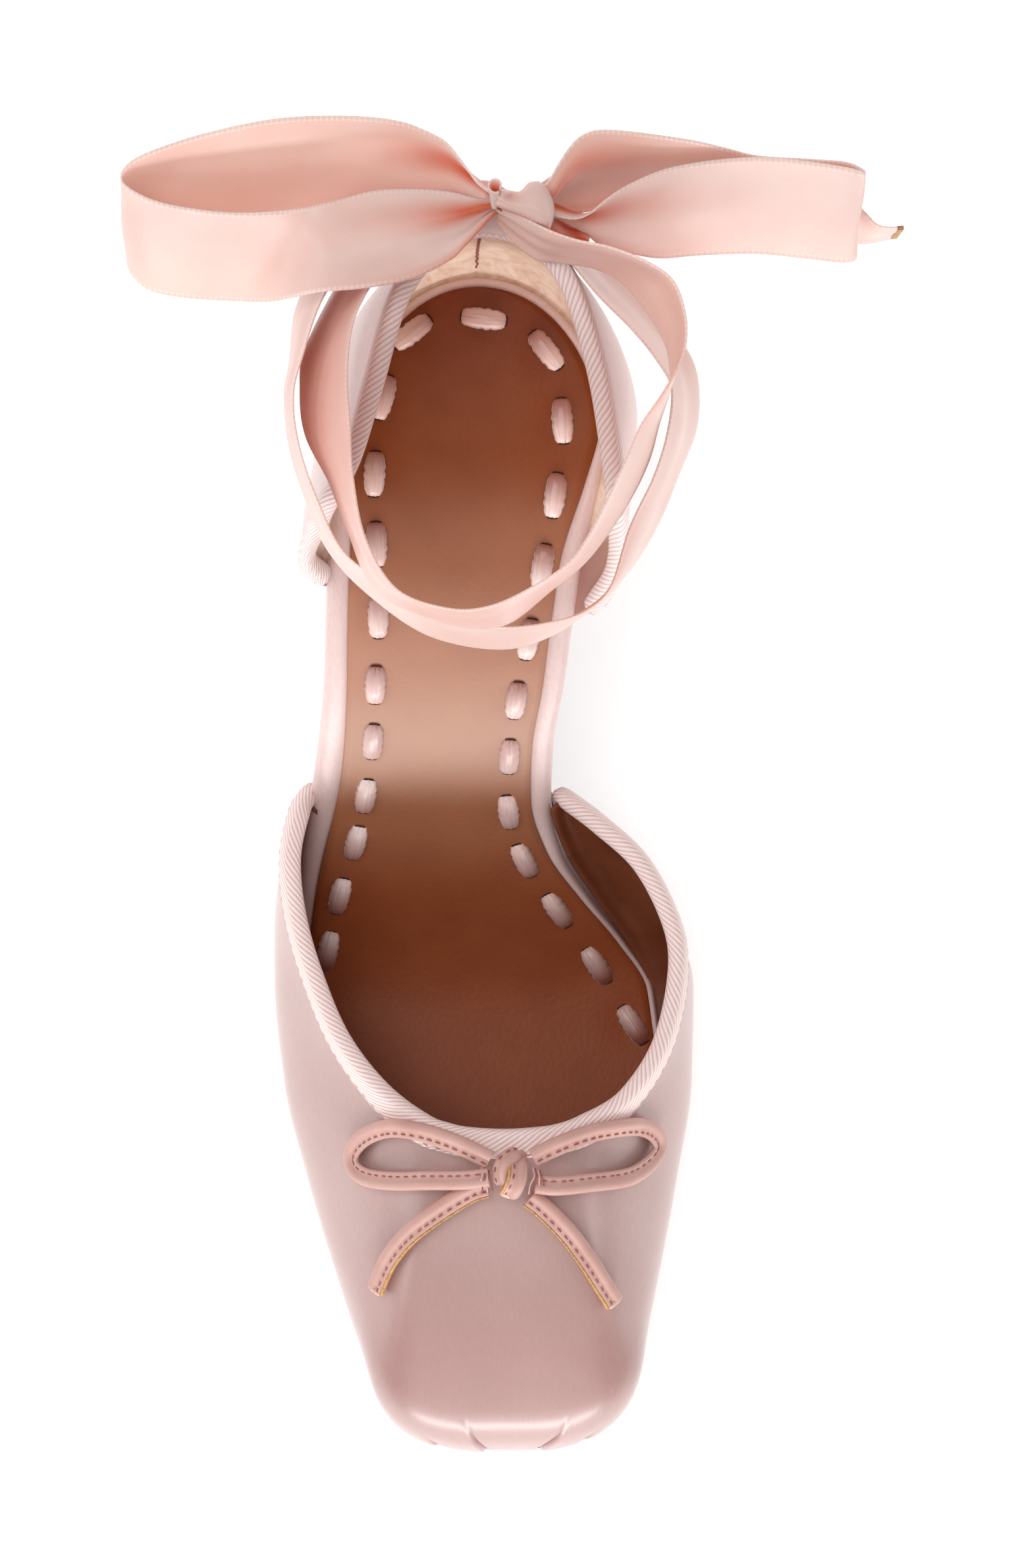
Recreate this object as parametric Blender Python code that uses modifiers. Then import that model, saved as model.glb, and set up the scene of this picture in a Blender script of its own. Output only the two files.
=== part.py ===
"""Ankle wrap pump, right foot: a satin pump with open sides, a square toe, a covered block heel and a
ribbon that goes twice round the ankle and is tied in a bow at the back.

Metres, +Z up. +X is the inner (medial) side, -X the outer (lateral) side, -Y the toe and +Y the heel.
The origin is on the floor, under the ball of the foot. The tables are in millimetres.
"""

import math
from collections import namedtuple

import bmesh
import bpy
import numpy as np
from mathutils import Vector
from mathutils.bvhtree import BVHTree

MM = 0.001
OBJECT_NAME = "ankle_wrap_pump"
UP = Vector((0, 0, 1))

# ---------------------------------------------------------------- driving sizes, in millimetres
TOE_END = -84.3  # front end of the insole board
HEEL_END = 134.0  # back end of the insole board
TOE_CAP_FROM = -73.0  # the outline starts to round off here, towards the toe
SEAT_CAP_FROM = 104.0  # and here, towards the back of the heel
CLEARANCE = 0.3  # gap between pieces that meet
FEATHER_GAP = 0.5  # and between the outsole and the board, where the sole bends most
SOCK_THICK = 1.2
BOARD_THICK = 2.8
OUTSOLE_THICK = 2.3
SOCK_INSET = 4.4  # width of the rand that shows round the footbed at the waist
SOCK_END_INSET = 1.9  # and at the toe and the heel
VAMP_WALL = 1.8
COUNTER_WALL = 2.0
LIP = 0.0  # how far the outsole stands out past the upper
WAIST_TUCK = 1.5  # and how far it is set back under the board at the waist
BREAST_GAP = 2.0

BOARD_TOP = SOCK_THICK + CLEARANCE  # depths below the footbed
BOARD_BOTTOM = BOARD_TOP + BOARD_THICK
OUTSOLE_TOP = BOARD_BOTTOM + FEATHER_GAP

BREAST_Y = 84.0  # front face of the heel, at the seat
TIP_TOP = 5.6  # height of the top lift
TIP_HALF_WIDTH = 14.5
TIP_FRONT, TIP_BACK = 103.0, 131.0
TIP_MIDDLE = -1.5
SEAT_HALF_WIDTH = 27.0
HEEL_SWEEP = 2.4  # how fast the heel narrows below the seat

RIBBON_THICK = 0.8
RIBBON_KNOT, RIBBON_KNOT_SIZE = (6.6, 136.0, 129.0), (11.6, 9.5, 14.0)
CORD_WIDTH, CORD_HEIGHT = 4.8, 2.2  # the piped leather cord of the vamp bow

# ---------------------------------------------------------------- sections of the last's bottom
# y, height of the footbed, and the x of the insole board's lateral and medial edges
Section = namedtuple("Section", "y bed lateral medial")
SECTIONS = [
    Section(-92, 13.4, -17.4, 23.2),
    Section(-76, 11.0, -18.8, 25.2),
    Section(-60, 9.0, -24.2, 28.6),
    Section(-34, 7.1, -32.2, 33.2),
    Section(-15, 7.1, -36.6, 36.0),
    Section(4, 7.1, -38.0, 34.4),
    Section(13, 10.9, -37.9, 28.6),
    Section(21, 16.3, -37.0, 21.4),
    Section(29, 23.9, -35.6, 15.4),
    Section(38, 33.9, -33.5, 12.8),
    Section(47.5, 44.5, -32.0, 13.2),
    Section(57.5, 54.5, -31.2, 15.1),
    Section(68, 62.4, -30.9, 16.6),
    Section(81, 67.8, -30.3, 18.6),
    Section(95, 71.2, -28.8, 21.8),
    Section(108, 73.8, -26.9, 23.6),
    Section(121, 76.0, -26.3, 23.5),
    Section(138, 78.6, -26.3, 23.5),
]

# ---------------------------------------------------------------- ribs of the upper
# along: share of the way round the board, from the lateral end to the medial end
# x, y, z: the top edge there; bulge: how far the wall leans out above the sole
Rib = namedtuple("Rib", "along x y z bulge")
VAMP_WAIST_Y = 37.5  # where the vamp's wings start at the sole
VAMP_RIBS = [
    Rib(0.000, -34.6, 41.2, 34.0, 0.5),
    Rib(0.025, -36.6, 36.8, 37.6, 1.5),
    Rib(0.060, -38.6, 27.0, 39.6, 3.0),
    Rib(0.105, -37.5, 15.5, 39.6, 5.0),
    Rib(0.150, -34.0, 3.5, 40.2, 6.5),
    Rib(0.200, -28.5, -9.0, 41.6, 6.5),
    Rib(0.275, -20.5, -19.0, 43.0, 6.0),
    Rib(0.365, -12.0, -24.6, 44.0, 5.0),
    Rib(0.410, -7.5, -26.2, 44.4, 4.0),
    Rib(0.445, -3.5, -27.0, 44.6, 3.5),
    Rib(0.500, 3.5, -27.4, 44.7, 2.5),
    Rib(0.550, 10.0, -27.0, 44.6, 3.5),
    Rib(0.580, 14.0, -26.4, 44.4, 5.5),
    Rib(0.630, 19.0, -24.8, 44.0, 7.0),
    Rib(0.710, 27.0, -20.8, 43.2, 8.0),
    Rib(0.790, 34.2, -10.5, 41.8, 7.0),
    Rib(0.845, 37.6, 3.0, 40.4, 8.0),
    Rib(0.890, 37.0, 13.5, 39.6, 9.0),
    Rib(0.940, 31.0, 26.0, 39.0, 8.0),
    Rib(0.975, 22.0, 34.6, 37.0, 4.0),
    Rib(1.000, 14.8, 40.4, 34.0, 0.5),
]
COUNTER_LATERAL_Y, COUNTER_MEDIAL_Y = 76.0, 70.0  # where the counter's front edges meet the sole
COUNTER_RIBS = [
    Rib(0.00, -30.8, 77.6, 66.9, 0.5),
    Rib(0.03, -33.6, 79.5, 80.0, 2.0),
    Rib(0.07, -31.0, 86.0, 94.0, 5.0),
    Rib(0.13, -25.6, 95.0, 101.5, 6.0),
    Rib(0.21, -21.3, 107.0, 110.0, 6.0),
    Rib(0.31, -16.2, 122.5, 116.8, 5.0),
    Rib(0.40, -8.6, 132.0, 118.6, 4.0),
    Rib(0.48, -0.5, 135.2, 119.0, 4.0),
    Rib(0.56, 8.8, 132.6, 118.6, 4.0),
    Rib(0.64, 16.0, 125.0, 117.4, 5.0),
    Rib(0.73, 21.0, 111.0, 111.6, 7.0),
    Rib(0.81, 23.6, 98.0, 104.5, 7.0),
    Rib(0.89, 25.2, 86.0, 94.0, 6.0),
    Rib(0.96, 24.6, 77.5, 78.0, 3.0),
    Rib(1.00, 20.0, 72.0, 64.5, 0.5),
]

# ---------------------------------------------------------------- ribbon
# both edges of the ribbon, row by row along its length; near the knot it is gathered
Strip = namedtuple("Strip", "x y z low_x low_y low_z")
# from the keeper round the outer side, across the front and back along the inner side to the knot
UPPER_TURN = [
    Strip(-0.2, 137.6, 117.0, -0.2, 139.8, 95.2),
    Strip(-6.0, 136.8, 118.0, -8.0, 139.4, 96.0),
    Strip(-12.0, 132.8, 121.5, -17.0, 137.4, 100.5),
    Strip(-17.5, 126.0, 126.0, -25.5, 129.5, 105.5),
    Strip(-23.0, 115.5, 130.0, -33.0, 114.0, 110.5),
    Strip(-24.5, 105.0, 133.0, -34.0, 105.0, 113.5),
    Strip(-24.0, 94.0, 136.0, -32.8, 96.0, 116.5),
    Strip(-23.5, 84.5, 138.0, -28.3, 87.0, 118.0),
    Strip(-21.2, 73.0, 140.0, -24.6, 77.5, 119.8),
    Strip(-15.5, 63.5, 142.0, -19.5, 67.0, 120.5),
    Strip(-6.5, 60.0, 143.0, -8.0, 61.5, 121.0),
    Strip(1.0, 60.5, 143.0, 3.0, 60.5, 121.0),
    Strip(9.0, 64.5, 142.0, 12.0, 67.0, 120.5),
    Strip(16.0, 70.0, 141.0, 19.0, 73.0, 119.5),
    Strip(21.5, 80.0, 139.0, 26.0, 83.0, 118.0),
    Strip(25.0, 87.5, 137.5, 30.0, 91.0, 117.0),
    Strip(28.0, 94.0, 137.5, 32.0, 98.0, 118.5),
    Strip(32.0, 99.5, 138.5, 33.8, 103.5, 120.3),
    Strip(34.7, 104.0, 139.0, 33.8, 107.0, 120.8),
    Strip(36.2, 108.5, 139.5, 33.0, 111.5, 120.8),
    Strip(36.0, 114.0, 140.0, 30.7, 116.0, 120.6),
    Strip(33.7, 119.7, 140.5, 26.7, 121.6, 120.8),
    Strip(28.8, 123.0, 141.0, 22.9, 124.8, 120.9),
    Strip(22.4, 125.4, 141.0, 18.5, 126.6, 120.4),
    Strip(16.0, 126.8, 141.0, 14.0, 127.4, 120.6),
    Strip(10.0, 128.4, 140.5, 9.0, 128.4, 122.0),
    Strip(5.0, 130.0, 137.5, 4.8, 129.8, 122.5),
    Strip(1.8, 131.6, 132.5, 1.8, 131.2, 123.0),
]
# from the knot round the outer side, across the front and back along the inner side to the keeper
LOWER_TURN = [
    Strip(0.0, 136.2, 127.5, 0.0, 137.2, 123.0),
    Strip(-6.8, 137.6, 126.5, -7.0, 139.5, 122.8),
    Strip(-10.0, 137.6, 124.5, -13.0, 141.8, 110.0),
    Strip(-15.0, 135.0, 123.0, -19.5, 140.0, 103.5),
    Strip(-23.5, 128.5, 123.0, -29.0, 133.5, 102.5),
    Strip(-29.5, 119.5, 124.0, -35.0, 123.5, 103.0),
    Strip(-33.0, 109.5, 124.0, -36.4, 112.5, 102.5),
    Strip(-34.8, 102.0, 124.0, -37.2, 106.0, 102.5),
    Strip(-33.8, 93.0, 123.5, -36.2, 97.0, 102.0),
    Strip(-30.3, 83.0, 121.5, -33.4, 88.0, 101.0),
    Strip(-25.2, 73.6, 119.5, -28.6, 77.5, 99.0),
    Strip(-15.5, 67.0, 119.5, -20.5, 69.0, 98.2),
    Strip(-6.5, 61.5, 119.5, -10.0, 62.0, 97.8),
    Strip(4.0, 60.5, 119.5, 3.0, 59.5, 97.6),
    Strip(12.5, 61.5, 119.5, 12.5, 62.0, 97.6),
    Strip(18.5, 63.5, 119.5, 20.5, 67.5, 98.0),
    Strip(23.0, 68.0, 119.5, 26.5, 73.5, 98.5),
    Strip(26.5, 78.5, 119.5, 32.0, 82.5, 98.5),
    Strip(31.0, 88.0, 119.5, 36.0, 92.5, 98.5),
    Strip(33.5, 96.5, 119.5, 39.0, 100.5, 98.5),
    Strip(34.0, 104.5, 119.0, 39.5, 108.5, 98.0),
    Strip(31.0, 110.0, 118.5, 38.0, 114.5, 98.0),
    Strip(26.5, 115.5, 118.0, 33.5, 121.0, 97.8),
    Strip(20.5, 121.5, 118.0, 27.0, 128.0, 98.0),
    Strip(15.0, 128.0, 118.0, 19.5, 134.0, 97.5),
    Strip(8.0, 135.0, 117.5, 10.0, 138.8, 96.0),
    Strip(0.2, 137.6, 117.0, 0.2, 139.8, 95.2),
]
# the loops of the back bow, from the knot out along the near layer and back along the far one
LATERAL_LOOP = [
    Strip(0.0, 135.8, 135.0, 0.0, 133.4, 128.0),
    Strip(-5.5, 137.0, 132.5, -6.0, 126.2, 130.0),
    Strip(-12.5, 139.0, 130.0, -13.0, 122.6, 130.8),
    Strip(-20.0, 138.8, 128.5, -21.0, 120.3, 131.0),
    Strip(-28.5, 136.8, 127.5, -30.0, 120.2, 127.5),
    Strip(-36.0, 135.6, 127.0, -38.0, 121.8, 113.5),
    Strip(-46.0, 135.2, 127.0, -46.0, 122.8, 109.0),
    Strip(-56.0, 136.2, 128.0, -56.0, 123.2, 110.0),
    Strip(-62.0, 137.8, 129.0, -62.5, 124.6, 111.0),
    Strip(-65.8, 140.4, 130.0, -65.8, 128.5, 112.0),
    Strip(-64.5, 143.4, 130.5, -65.0, 132.5, 112.5),
    Strip(-59.5, 145.9, 131.0, -60.0, 134.2, 112.5),
    Strip(-50.0, 148.8, 131.5, -50.0, 136.0, 112.8),
    Strip(-37.5, 151.2, 132.0, -37.5, 138.6, 113.0),
    Strip(-25.0, 151.7, 132.0, -25.0, 141.0, 113.5),
    Strip(-13.0, 149.6, 133.0, -13.0, 144.0, 115.0),
    Strip(-6.0, 146.0, 134.0, -6.0, 142.5, 121.0),
    Strip(0.0, 139.8, 135.5, 0.0, 139.6, 127.5),
]
MEDIAL_LOOP = [
    Strip(13.2, 134.6, 134.5, 13.2, 132.8, 125.5),
    Strip(20.0, 136.6, 130.0, 20.0, 131.2, 119.5),
    Strip(26.0, 140.4, 128.5, 25.5, 130.4, 115.0),
    Strip(32.5, 143.4, 127.5, 32.0, 130.0, 111.5),
    Strip(40.5, 144.6, 127.0, 40.0, 130.9, 110.0),
    Strip(49.5, 145.2, 127.0, 50.0, 131.2, 110.0),
    Strip(58.0, 144.4, 127.5, 59.0, 130.4, 110.0),
    Strip(65.0, 143.2, 128.2, 66.2, 129.7, 110.0),
    Strip(68.9, 142.2, 128.8, 68.4, 131.2, 109.5),
    Strip(66.0, 144.2, 127.0, 66.2, 137.0, 107.5),
    Strip(60.0, 145.2, 125.0, 60.0, 138.5, 105.0),
    Strip(50.0, 145.9, 124.5, 50.0, 140.5, 104.0),
    Strip(43.5, 147.0, 126.5, 43.5, 141.0, 106.0),
    Strip(37.5, 147.8, 129.0, 37.5, 141.8, 108.5),
    Strip(26.0, 148.7, 132.0, 26.0, 142.8, 112.0),
    Strip(19.0, 148.2, 133.0, 19.0, 143.0, 116.0),
    Strip(15.5, 144.8, 134.0, 15.5, 142.2, 121.5),
    Strip(13.2, 139.4, 134.5, 13.2, 139.2, 127.0),
]
LATERAL_TAIL = [
    Strip(5.5, 140.6, 123.6, 0.8, 140.8, 122.8),
    Strip(4.0, 144.6, 114.0, -6.0, 145.2, 111.8),
    Strip(0.0, 145.6, 103.0, -14.0, 147.2, 97.0),
    Strip(-3.5, 147.0, 91.0, -20.0, 149.5, 83.5),
    Strip(-7.0, 149.0, 79.0, -24.0, 149.5, 71.0),
    Strip(-11.0, 150.5, 67.0, -29.0, 149.0, 60.0),
]
MEDIAL_TAIL = [
    Strip(9.0, 141.6, 129.5, 9.0, 141.4, 124.0),
    Strip(16.0, 147.0, 125.5, 15.0, 145.5, 113.5),
    Strip(25.0, 150.0, 122.0, 25.0, 147.2, 103.0),
    Strip(38.0, 149.5, 117.0, 38.0, 145.5, 97.0),
    Strip(50.0, 147.6, 114.0, 50.0, 143.0, 94.0),
    Strip(60.0, 145.6, 113.0, 60.0, 140.2, 93.0),
    Strip(66.0, 142.0, 113.0, 66.5, 137.6, 92.5),
    Strip(69.6, 138.4, 113.0, 70.0, 137.2, 92.0),
    Strip(72.4, 135.8, 113.0, 72.8, 137.5, 92.0),
    Strip(76.6, 135.5, 113.0, 76.8, 138.5, 92.0),
]
# the keeper's path at the back of the heel: up from the lining, over the top edge and down outside
Bend = namedtuple("Bend", "y z")
KEEPER_PATH = [
    Bend(132.4, 110.5),
    Bend(132.2, 118.5),
    Bend(133.2, 120.4),
    Bend(136.5, 121.0),
    Bend(140.0, 120.2),
    Bend(142.0, 117.0),
    Bend(143.2, 108.0),
    Bend(143.0, 98.0),
    Bend(141.6, 92.5),
]
KEEPER_FROM, KEEPER_TO = -6.5, 3.5  # its sides
HEEL_ROUNDNESS = 0.045  # how fast the back of the counter curves away from its middle

# ---------------------------------------------------------------- bow of leather cord on the vamp
# x, y and how high the middle of the cord stands off the satin
Lie = namedtuple("Lie", "x y off")
VAMP_KNOT, VAMP_KNOT_SIZE = Lie(4.8, -33.8, 3.4), (6.4, 8.8, 5.2)
LATERAL_BOW_LOOP = [
    Lie(0.8, -31.2, 3.6),
    Lie(-4.8, -28.5, 3.2),
    Lie(-12.0, -25.8, 2.4),
    Lie(-17.5, -25.0, 2.0),
    Lie(-22.0, -26.4, 1.9),
    Lie(-24.6, -29.0, 1.9),
    Lie(-24.6, -32.0, 1.9),
    Lie(-22.2, -34.3, 1.9),
    Lie(-17.5, -35.3, 1.9),
    Lie(-10.3, -35.2, 2.8),
    Lie(-3.5, -34.7, 4.6),
    Lie(0.6, -34.2, 4.6),
]
MEDIAL_BOW_LOOP = [
    Lie(8.8, -30.8, 3.6),
    Lie(13.5, -28.5, 3.2),
    Lie(20.5, -25.5, 2.4),
    Lie(27.0, -24.4, 2.0),
    Lie(30.8, -25.2, 1.9),
    Lie(32.3, -27.8, 1.9),
    Lie(30.6, -31.2, 1.9),
    Lie(26.3, -34.4, 1.9),
    Lie(19.0, -35.6, 2.6),
    Lie(13.0, -35.8, 4.6),
    Lie(9.2, -35.4, 4.6),
]
LATERAL_BOW_TAIL = [
    Lie(0.2, -36.6, 1.6),
    Lie(-3.0, -37.6, 1.6),
    Lie(-8.5, -41.0, 1.6),
    Lie(-14.0, -45.5, 1.6),
    Lie(-18.0, -50.4, 1.6),
    Lie(-20.5, -56.0, 1.6),
]
MEDIAL_BOW_TAIL = [
    Lie(8.4, -38.6, 1.6),
    Lie(11.0, -40.6, 1.6),
    Lie(15.5, -45.2, 1.6),
    Lie(19.2, -50.4, 1.6),
    Lie(22.0, -55.2, 1.6),
    Lie(23.9, -58.6, 1.6),
]

# ---------------------------------------------------------------- resolution of the meshes
VAMP_RIBS_MADE, VAMP_STEPS = 60, 10
COUNTER_RIBS_MADE, COUNTER_STEPS = 40, 7
CAP_STEPS = 6
CAP_SHARE = 0.93  # the plates stop just short of the outline's tip, so that none ends in a point
BODY_STEP = 5.0
WALK_STEP = 1.5
PLATE_COLUMNS = 4
HEEL_SIDES, HEEL_STEPS = 36, 8
STRIP_STEPS = 2  # steps between two rows of a ribbon's table
CORD_SIDES, CORD_STEPS = 8, 2

Finish = namedtuple("Finish", "name colour roughness metallic")
SATIN = Finish("pink_satin", (0.66, 0.42, 0.38, 1), 0.35, 0)
RIBBON_SATIN = Finish("ribbon_satin", (0.80, 0.48, 0.41, 1), 0.35, 0)
BROWN_LEATHER = Finish("brown_leather", (0.22, 0.075, 0.035, 1), 0.5, 0)
PINK_LEATHER = Finish("pink_leather", (0.66, 0.34, 0.27, 1), 0.4, 0)
SOLE_RUBBER = Finish("sole_rubber", (0.05, 0.04, 0.04, 1), 0.7, 0)


def clear_scene():
    """Remove the objects that the scene starts with."""
    for obj in list(bpy.data.objects):
        bpy.data.objects.remove(obj)


def material(finish):
    """The material of a finish, made once."""
    made = bpy.data.materials.get(finish.name)
    if made is None:
        made = bpy.data.materials.new(finish.name)
        made.use_nodes = True
        shader = made.node_tree.nodes["Principled BSDF"]
        shader.inputs["Base Color"].default_value = finish.colour
        shader.inputs["Roughness"].default_value = finish.roughness
        shader.inputs["Metallic"].default_value = finish.metallic
    return made


def add_object(name, data, finish, collection):
    """Put a mesh or a curve in the scene as one named piece."""
    obj = bpy.data.objects.new(name, data)
    obj.data.materials.append(material(finish))
    collection.objects.link(obj)
    return obj


# ---------------------------------------------------------------- smooth lines through the tables
def tangents(xs, ys):
    """Slopes at the knots that keep a curve through them level where they are level."""
    gaps, rises = np.diff(xs), np.diff(ys)
    slopes = rises / gaps
    inner = np.zeros(len(xs))
    same_way = slopes[:-1] * slopes[1:] > 0
    w1, w2 = 2 * gaps[1:] + gaps[:-1], gaps[1:] + 2 * gaps[:-1]
    mean = np.zeros(len(slopes) - 1)
    mean[same_way] = ((w1 + w2)[same_way]) / (
        w1[same_way] / slopes[:-1][same_way] + w2[same_way] / slopes[1:][same_way]
    )
    inner[1:-1] = mean
    inner[0], inner[-1] = slopes[0], slopes[-1]
    return inner


def smooth(xs, ys, x):
    """A cubic through the knots (xs, ys), read at x."""
    xs, ys = np.asarray(xs, float), np.asarray(ys, float)
    slopes = tangents(xs, ys)
    k = int(np.clip(np.searchsorted(xs, x) - 1, 0, len(xs) - 2))
    gap = xs[k + 1] - xs[k]
    t = (x - xs[k]) / gap
    from_start = ys[k] * (2 * t**3 - 3 * t**2 + 1) + slopes[k] * gap * (t**3 - 2 * t**2 + t)
    from_end = ys[k + 1] * (3 * t**2 - 2 * t**3) + slopes[k + 1] * gap * (t**3 - t**2)
    return from_start + from_end


def row_at(rows, place):
    """The table's row at a place between 0 and 1, on a Catmull-Rom curve through the rows."""
    table = np.array(rows, float)
    at = place * (len(table) - 1)
    k = int(min(at, len(table) - 2))
    t = at - k
    before = table[k - 1] if k else 2 * table[0] - table[1]
    after = table[k + 2] if k + 2 < len(table) else 2 * table[-1] - table[-2]
    a, b = table[k], table[k + 1]
    return 0.5 * (
        2 * a
        + (b - before) * t
        + (2 * before - 5 * a + 4 * b - after) * t**2
        + (3 * a - before - 3 * b + after) * t**3
    )


# ---------------------------------------------------------------- the last's bottom
SECTION_Y = [row.y for row in SECTIONS]


def bed_height(y):
    """Height of the footbed at y."""
    return smooth(SECTION_Y, [row.bed for row in SECTIONS], y)


def on_bed(x, y, depth):
    """The point at (x, y) of the footbed, carried this far down along its normal, in metres."""
    step = 0.5
    slope = (bed_height(y + step) - bed_height(y - step)) / (2 * step)
    long = math.hypot(1, slope)
    return Vector((x, y + depth * slope / long, bed_height(y) - depth / long)) * MM


def edge(y, side, grow):
    """x of the board's edge at y, on the lateral (-1) or medial (1) side, moved out by grow."""
    lateral = smooth(SECTION_Y, [row.lateral for row in SECTIONS], y)
    medial = smooth(SECTION_Y, [row.medial for row in SECTIONS], y)
    middle, half = (lateral + medial) / 2, (medial - lateral) / 2 + grow
    if y > SEAT_CAP_FROM:
        share = min((y - SEAT_CAP_FROM) / (HEEL_END + grow - SEAT_CAP_FROM), 1)
        half *= math.sqrt(1 - share**2)
    if y < TOE_CAP_FROM:
        share = min((TOE_CAP_FROM - y) / (TOE_CAP_FROM - TOE_END + grow), 1)
        half *= (1 - share**2.5) ** (1 / 3)
    return middle + side * half


def toe_stations(grow, steps, last=1.0):
    """The y of stations from the tip of the toe to where its cap starts, close together at the tip."""
    reach = TOE_CAP_FROM - TOE_END + grow
    turns = [math.pi / 2 * last * (1 - k / steps) for k in range(steps)]
    return [TOE_CAP_FROM - reach * math.sin(turn) ** 0.8 for turn in turns]


def heel_stations(grow, steps, last=1.0):
    """The y of stations from where the heel's cap starts to its end."""
    reach = HEEL_END + grow - SEAT_CAP_FROM
    turns = [math.pi / 2 * last * (k + 1) / steps for k in range(steps)]
    return [SEAT_CAP_FROM + reach * math.sin(turn) for turn in turns]


def body_stations(start, end, step=BODY_STEP):
    """Evenly spaced y values from start to end, about a step apart."""
    count = max(round(abs(end - start) / step), 1)
    return [start + (end - start) * k / count for k in range(count + 1)]


def outline(grow, start, end, toe, steps=24):
    """(x, y) points of the board's outline from the lateral edge at start to the medial edge at end.

    It goes round the toe if toe is true, and round the heel otherwise.
    """
    if toe:
        cap = toe_stations(grow, steps)
        down = body_stations(TOE_CAP_FROM, start, WALK_STEP)[::-1]
        up = body_stations(TOE_CAP_FROM, end, WALK_STEP)
        lateral, medial = down + cap[::-1], cap + up
    else:
        cap = heel_stations(grow, steps)
        lateral = body_stations(start, SEAT_CAP_FROM, WALK_STEP) + cap
        medial = cap[::-1] + body_stations(end, SEAT_CAP_FROM, WALK_STEP)[::-1]
    return [(edge(y, -1, grow), y) for y in lateral] + [(edge(y, 1, grow), y) for y in medial[1:]]


class Walk:
    """A line round the board at one depth, read by the share of its length."""

    def __init__(self, points, depth):
        self.flat = np.array(points)
        solid = np.array([on_bed(x, y, depth) for x, y in points])
        steps = np.linalg.norm(np.diff(solid, axis=0), axis=1)
        self.share = np.concatenate([[0], np.cumsum(steps)]) / steps.sum()
        self.depth = depth

    def plan(self, share):
        return [float(np.interp(share, self.share, self.flat[:, k])) for k in range(2)]

    def at(self, share):
        x, y = self.plan(share)
        return on_bed(x, y, self.depth)

    def outward(self, share, turn):
        """The level direction away from the board; turn is 1 round the toe and -1 round the heel."""
        ahead, behind = self.plan(min(share + 0.01, 1)), self.plan(max(share - 0.01, 0))
        along = Vector((ahead[0] - behind[0], ahead[1] - behind[1], 0)).normalized()
        return turn * Vector((along.y, -along.x, 0))


# ---------------------------------------------------------------- solids from surfaces
def surface(name, place, across, along, finish, collection, thickness, inside_out=False):
    """A grid bent by place(u, v), with a wall of this thickness behind it.

    Its face looks along the cross product of u and v, or against it if inside_out is true.
    """
    grid = bmesh.new()
    bmesh.ops.create_grid(grid, x_segments=across, y_segments=along, size=0.5)
    for vertex in grid.verts:
        vertex.co = place(vertex.co.x + 0.5, vertex.co.y + 0.5)
    if inside_out:
        bmesh.ops.reverse_faces(grid, faces=grid.faces)
    mesh = bpy.data.meshes.new(name)
    grid.to_mesh(mesh)
    grid.free()
    mesh.shade_smooth()
    obj = add_object(name, mesh, finish, collection)
    wall = obj.modifiers.new("wall", "SOLIDIFY")
    wall.thickness = thickness * MM
    wall.offset = -1
    wall.use_even_offset = True
    return obj


def plate(name, stations, grow, depth, thickness, finish, collection):
    """A plate that follows the footbed at a depth; grow(y) sets its outline off the board's."""

    def place(u, v):
        y = stations[round(v * (len(stations) - 1))]
        return on_bed(edge(y, -1, grow(y)) * (1 - u) + edge(y, 1, grow(y)) * u, y, depth)

    return surface(name, place, PLATE_COLUMNS, len(stations) - 1, finish, collection, thickness)


def bezier(a, b, c, d, t):
    return a * (1 - t) ** 3 + b * 3 * t * (1 - t) ** 2 + c * 3 * t**2 * (1 - t) + d * t**3


def rib_point(foot, out, row, t):
    """A point of a rib: it rises from the sole, leans out by its bulge and ends at the top edge."""
    top = Vector(row[1:4]) * MM
    height = UP * (top.z - foot.z)
    level = Vector((foot.x - top.x, foot.y - top.y, 0))
    far = min(level.length / (55 * MM), 1)
    far = far * far * (3 - 2 * far)
    low = foot + out * row[4] * MM + height * (0.36 + 0.16 * far**2)
    high = top + level * (0.62 + 0.1 * far**2) * far + out * 2.5 * MM * (1 - far) - height * 0.32
    return bezier(foot, low, high, top, t)


def upper_piece(name, rows, walk, turn, counts, wall, collection):
    """A hollow piece of the upper, through ribs that stand round the board."""

    def place(u, v):
        row = row_at(rows, u)
        share = min(max(row[0], 0), 1)
        return rib_point(walk.at(share), walk.outward(share, turn), row, v)

    return surface(name, place, *counts, SATIN, collection, wall, inside_out=turn < 0)


# ---------------------------------------------------------------- sole, heel and upper
def add_sole(collection):
    """Footbed, insole board and outsole."""
    whole = body_stations(TOE_CAP_FROM, 4) + body_stations(4, SEAT_CAP_FROM)[1:]
    sock = toe_stations(-SOCK_END_INSET, CAP_STEPS, CAP_SHARE) + whole
    sock += heel_stations(-SOCK_END_INSET, CAP_STEPS, CAP_SHARE)
    plate("footbed", sock, sock_grow, 0, SOCK_THICK, BROWN_LEATHER, collection)
    board = toe_stations(0, CAP_STEPS, CAP_SHARE) + whole + heel_stations(0, CAP_STEPS, CAP_SHARE)
    plate("insole_board", board, lambda y: 0, BOARD_TOP, BOARD_THICK, SATIN, collection)
    sole = toe_stations(outsole_grow(TOE_END), CAP_STEPS, CAP_SHARE)
    sole += body_stations(TOE_CAP_FROM, 4) + body_stations(4, BREAST_Y - BREAST_GAP)[1:]
    plate("outsole", sole, outsole_grow, OUTSOLE_TOP, OUTSOLE_THICK, SOLE_RUBBER, collection)


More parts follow.
